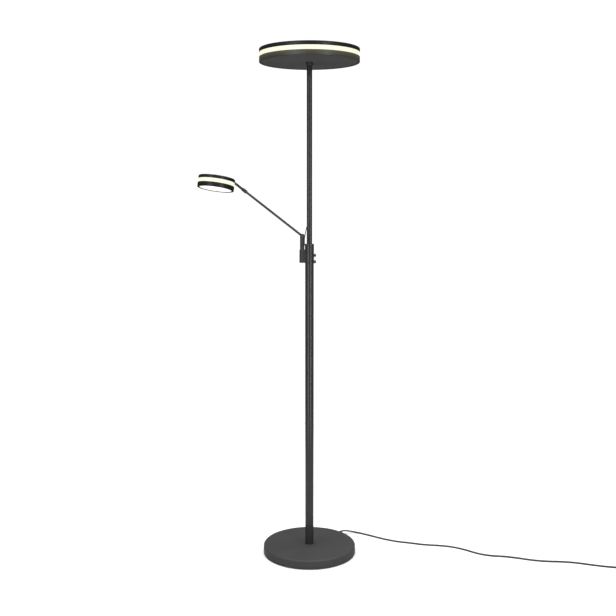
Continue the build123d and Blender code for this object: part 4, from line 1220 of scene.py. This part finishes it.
# ---------------------------------------------------------------- swivel post and reading arm
@dataclass
class ReadingArm:
    """The bracket, the swivel post, the arm, its knuckle and the small reading head."""

    post_offset: float = 25.6
    hinge_height: float = 1158.2
    azimuth: float = 200.0
    rise: float = 36.9
    length: float = 267.5
    head_twist: float = 6.0
    disc_pitch: float = -27.0
    post_radius: float = 7.75
    arm_radius: float = 4.0
    ferrule_radius: float = 6.0
    ferrule_back: float = 14.0
    stem_length: float = 40.8
    stem_radius: float = 4.2
    stem_drop: float = 5.0
    disc_radius: float = 62.0
    lower_height: float = 14.8
    band_height: float = 12.9
    top_height: float = 11.3
    post_bottom: float = 1069.0
    post_shoulder: float = 1111.3
    bracket_bottom: float = 1064.0
    bracket_top: float = 1110.0
    panel_bottom: float = 1.6
    panel_top: float = 3.6
    along: Vector = field(init=False)
    hinge: Vector = field(init=False)
    hinge_axis: Vector = field(init=False)
    knuckle: Vector = field(init=False)
    tilt_axis: Vector = field(init=False)

    def __post_init__(self) -> None:
        """Work out the arm's directions and joints from its angles."""
        turn, rise = radians(self.azimuth), radians(self.rise)
        self.along = Vector((cos(rise) * cos(turn), cos(rise) * sin(turn), sin(rise)))
        self.hinge_axis = Vector((sin(turn), -cos(turn), 0))
        self.hinge = Vector((-self.post_offset, 0, self.hinge_height)) * MM
        self.knuckle = self.hinge + self.along * self.length * MM
        self.tilt_axis = Matrix.Rotation(radians(self.head_twist), 3, self.along) @ self.hinge_axis

    def build(self) -> None:
        """Make everything from the bracket to the reading head."""
        self.build_bracket()
        self.build_post()
        self.build_arm()
        self.build_knuckle()
        self.build_stem()
        self.build_head()

    def build_bracket(self) -> None:
        """Make the block that holds the post beside the housing."""
        centre = (-self.post_offset, 0.0)
        outline = [(-12.9477, 9.4)] + arc(centre, 9.9, 71.71, 288.29, 48) + [(-12.9477, -9.4)]
        outline += arc((0.0, 0.0), 16.0, 215.98, 144.02, 24)[1:-1]
        bracket = prism("arm_bracket_block", outline, upright(), self.bracket_bottom, self.bracket_top,
                        3.2, 0.6, lambda x, y: x * x + y * y < 16.2 ** 2)
        bore = bar("bracket_bore", upright(-self.post_offset, 0, 0), 6.0, 1068.0, 1112.0, 0, 64)
        dress(worked(bracket, [(Work.CUT, bore)]), Finishes.coat, Body.LAMP, Slot.METAL, "arm_bracket")

    def build_post(self) -> None:
        """Make the turning post with its fork, its hinge pin and the lead's entry."""
        place = upright(-self.post_offset, 0, 0)
        facing = Vector((cos(radians(self.azimuth)), sin(radians(self.azimuth)), 0))
        side = seat(self.hinge, self.hinge_axis, facing)
        post = [(0, self.post_bottom, 0), (4.5, self.post_bottom, 0.5), (4.5, self.post_shoulder, 0),
                (self.post_radius, self.post_shoulder, 0.3), (self.post_radius, 1166.5, 0), (0, 1166.5, 0)]
        dome = arc((0.0, 0.0), self.post_radius, 0, 180, 40)
        dome += [(-9.0, 0.0), (-9.0, -95.0), (9.0, -95.0), (9.0, 0.0)]
        entry = seat(Vector((-self.post_offset, 0, 1113.5)) * MM,
                     Vector((cos(radians(-35)), sin(radians(-35)), 1)), Vector((0, 0, 1)))
        steps = [(Work.TRIM, prism("post_dome", dome, side, -9.0, 9.0)),
                 (Work.CUT, block("post_slot", side, (18.0, 20.0, 6.2), (0.0, 2.8, 0.0))),
                 (Work.CUT, bar("pin_hole", side, 2.5, -9.0, 9.0, 0, 40)),
                 (Work.CUT, bar("lead_entry", entry, 1.9, 0.0, 16.0, 0, 32))]
        dress(worked(turned("reading_arm_post", post, place, 96), steps), Finishes.coat, Body.POST,
              Slot.METAL, "swivel_post")
        pin = [(0, -6.0, 0), (1.25, -6.0, 0), (1.25, -7.25, 0.1), (2.48, -7.25, 0.35), (2.48, 7.25, 0.35),
               (0, 7.25, 0)]
        dress(turned("arm_hinge_pin", pin, side, 48), Finishes.steel, Body.POST, Slot.STEEL, "hinge_pin")

    def build_arm(self) -> None:
        """Make the arm's flat eye and its thin tube."""
        side = seat(self.hinge, self.hinge_axis, self.along)
        straight = seat(self.hinge, self.along, self.hinge_axis)
        outline = arc((0.0, 0.0), 6.0, 39.3, 320.7, 56) + [(9.6, -3.8), (9.6, 3.8)]
        neck = [(0, 9.2, 0), (3.6, 9.2, 0.6), (4.0, 9.9, 0.3), (4.0, 12.0, 0.15), (3.05, 12.0, 0),
                (3.05, 26.0, 0), (0, 26.0, 0)]
        steps = [(Work.JOIN, turned("arm_neck", neck, straight, 64)),
                 (Work.CUT, bar("eye_hole", side, 2.55, -6.0, 6.0, 0, 40))]
        dress(worked(prism("arm_hinge_eye", outline, side, -2.5, 2.5, 0.45, 0.45), steps), Finishes.coat,
              Body.ARM, Slot.METAL, "arm_eye")
        bore, tube_start, tube_end = 3.1, 12.05, self.length - self.ferrule_back - 2.0
        skin = [(bore, tube_start, 0), (self.arm_radius, tube_start, 0.15), (self.arm_radius, tube_end, 0.15),
                (bore, tube_end, 0)]
        dress(turned("reading_arm_tube", skin, straight, 72), Finishes.tube_coat, Body.ARM, Slot.METAL,
              "arm_tube")

    def build_knuckle(self) -> None:
        """Make the ferrule that turns on the arm's end, with its fork and the tilt screw."""
        side = seat(self.knuckle, self.tilt_axis, self.along)
        straight = seat(self.knuckle, self.along, self.tilt_axis)
        radius, back = self.ferrule_radius, self.ferrule_back
        ferrule = [(0, -back, 0), (radius, -back, 0.6), (radius, radius + 0.5, 0), (0, radius + 0.5, 0)]
        dome = arc((0.0, 0.0), radius, -90, 90, 40) + [(0.0, 7.0), (-20.0, 7.0), (-20.0, -7.0), (0.0, -7.0)]
        steps = [(Work.TRIM, prism("ferrule_dome", dome, side, -7.0, 7.0)),
                 (Work.CUT, block("ferrule_slot", side, (20.0, 16.0, 4.2), (3.5, 0.0, 0.0))),
                 (Work.CUT, bar("ferrule_bore", straight, 2.55, -back - 1.0, -3.0, 0, 40)),
                 (Work.CUT, bar("tilt_hole", side, 1.75, -9.0, 9.0, 0, 32)),
                 (Work.CUT, bar("head_seat", side, 3.3, -9.0, -5.0, 0, 40)),
                 (Work.CUT, bar("nut_seat", side, 3.3, 5.0, 9.0, 0, 40))]
        dress(worked(turned("knuckle_ferrule", ferrule, straight, 80), steps), Finishes.coat, Body.KNUCKLE,
              Slot.METAL, "knuckle_fork")
        screw = [(0, -5.6, 0), (1.2, -5.6, 0), (1.2, -6.4, 0.1), (2.9, -6.4, 0.4), (2.9, -5.0, 0),
                 (1.72, -5.0, 0), (1.72, 5.0, 0), (2.9, 5.0, 0), (2.9, 6.2, 0.5), (0, 6.2, 0)]
        dress(turned("tilt_cap_screw", screw, side, 48), Finishes.steel, Body.KNUCKLE, Slot.STEEL,
              "tilt_screw")

    def disc_seat(self) -> Matrix:
        """The seat at the middle of the reading head's lower face, with Z up through the head."""
        pitch = radians(self.disc_pitch)
        lean = self.tilt_axis.cross(self.along)
        outward = self.along * cos(pitch) + lean * sin(pitch)
        upward = lean * cos(pitch) - self.along * sin(pitch)
        rim = self.knuckle + self.along * self.stem_length * MM
        total = self.lower_height + self.band_height + self.top_height
        centre = rim + (outward * self.disc_radius - upward * (total - self.stem_drop)) * MM
        return seat(centre, upward, outward)

    def build_stem(self) -> None:
        """Make the stem with its flat tongue, shaped to the head's rim."""
        side = seat(self.knuckle, self.tilt_axis, self.along)
        straight = seat(self.knuckle, self.along, self.tilt_axis)
        outline = arc((0.0, 0.0), 5.4, 46.0, 314.0, 56) + [(8.0, -3.9), (8.0, 3.9)]
        rod = [(0, 7.4, 0), (self.stem_radius, 7.4, 0.7), (self.stem_radius, 52.0, 0), (0, 52.0, 0)]
        steps = [(Work.JOIN, turned("stem_rod", rod, straight, 72)),
                 (Work.CUT, bar("stem_hole", side, 1.8, -6.0, 6.0, 0, 32)),
                 (Work.CUT, bar("rim_shape", self.disc_seat(), self.disc_radius, -10.0, 60.0, 0, 256))]
        dress(worked(prism("reading_head_stem", outline, side, -2.05, 2.05, 0.3, 0.3), steps), Finishes.coat,
              Body.READING_HEAD, Slot.METAL, "head_stem")

    def build_head(self) -> None:
        """Make the reading head's rings, lit band, lit underside and top."""
        place = self.disc_seat()
        radius, inner = self.disc_radius, self.disc_radius - 2.0
        band_low = self.lower_height
        band_high = band_low + self.band_height
        top = band_high + self.top_height
        opening, low = radius - 7.3, self.panel_bottom
        lower = [(opening, 0, 0.35), (radius, 0, 1.0), (radius, band_low, 0.25), (inner, band_low, 0),
                 (inner, low, 0), (opening, low, 0)]
        # The reading head's lower rim takes the darker coat, which is painted shade.
        dress(turned("reading_lower_rim", lower, place, 200), Finishes.shade_darkened_coat, Body.READING_HEAD,
              Slot.METAL, "reading_lower_ring")
        panel = [(0, low, 0), (inner, low, 0), (inner, self.panel_top, 0), (0, self.panel_top, 0)]
        lit_centre = place @ (Vector((0, 0, low)) * MM)
        glow = LitPanel("lit reading diffuser", centre=tuple(lit_centre), radius=0.0547)
        dress(turned("reading_lit_panel", panel, place, 160), glow, Body.READING_HEAD, Slot.DIFFUSER,
              "reading_diffuser")
        band = [(radius - 3.2, band_low, 0), (radius - 0.2, band_low, 0.2), (radius - 0.2, band_high, 0.2),
                (radius - 3.2, band_high, 0)]
        dress(turned("reading_light_band", band, place, 200), Finishes.band, Body.READING_HEAD, Slot.BAND,
              "reading_band")
        boss, under, skin = 44.0, top - 4.8, top - 1.8
        cup = [(0, under, 0), (boss, under, 0), (boss, skin, 0), (inner, skin, 0), (inner, band_high, 0),
               (radius, band_high, 0.25), (radius, top, 1.4), (0, top, 0)]
        # The reading head's top takes the darker coat, which is painted shade.
        dress(turned("reading_top_cup", cup, place, 200), Finishes.shade_darkened_coat, Body.READING_HEAD, Slot.METAL,
              "reading_cup")


# ---------------------------------------------------------------- inner parts
@dataclass
class InnerParts:
    """The frame's own solids that stay as they are: sealed pieces, small screws and bushes."""

    finishes: dict[str, Finish] = field(default_factory=lambda: {
        "arm_stub": Finishes.steel, "base_screws": Finishes.zinc, "base_weight": Finishes.iron,
        "bracket_screws": Finishes.zinc, "cord_clamp": Finishes.nylon, "dimmer_board": Finishes.board,
        "dimmer_bodies": Finishes.steel, "edge_led_strip": Finishes.board, "foot_plug": Finishes.zinc,
        "head_dimmer_shaft": Finishes.zinc, "head_driver": Finishes.case, "head_feed_lead": Finishes.cord,
        "head_spacers": Finishes.aluminium, "hinge_washers": Finishes.nylon, "hub_nut": Finishes.zinc,
        "inner_mains_lead": Finishes.cord, "knuckle_retainer": Finishes.steel, "led_tray": Finishes.aluminium,
        "pole_grub_screws": Finishes.steel, "post_bush": Finishes.nylon, "post_retainer": Finishes.steel,
        "reading_dimmer_shaft": Finishes.zinc, "reading_led_board": Finishes.board,
        "stem_screw": Finishes.zinc, "top_led_board": Finishes.board,
    })

    def build(self) -> None:
        """Give every kept solid its finish."""
        for node, finish in self.finishes.items():
            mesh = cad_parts[node].data
            mesh.materials.clear()
            mesh.materials.append(finish.material())
            log.info("finished %s in %s", node, finish.name)


def main() -> None:
    """Build the studio and the lamp in order."""
    logging.basicConfig(level=logging.INFO, format="%(name)s: %(message)s")
    Studio().build()
    MainsCord().build()
    ReadingLead().build()
    Base().build()
    Pole().build()
    DimmerKnob("head", 1090.0, Body.HEAD_KNOB).build()
    DimmerKnob("reading", 1067.5, Body.READING_KNOB).build()
    UplighterHead().build()
    ReadingArm().build()
    InnerParts().build()


if __name__ == "__main__":
    main()
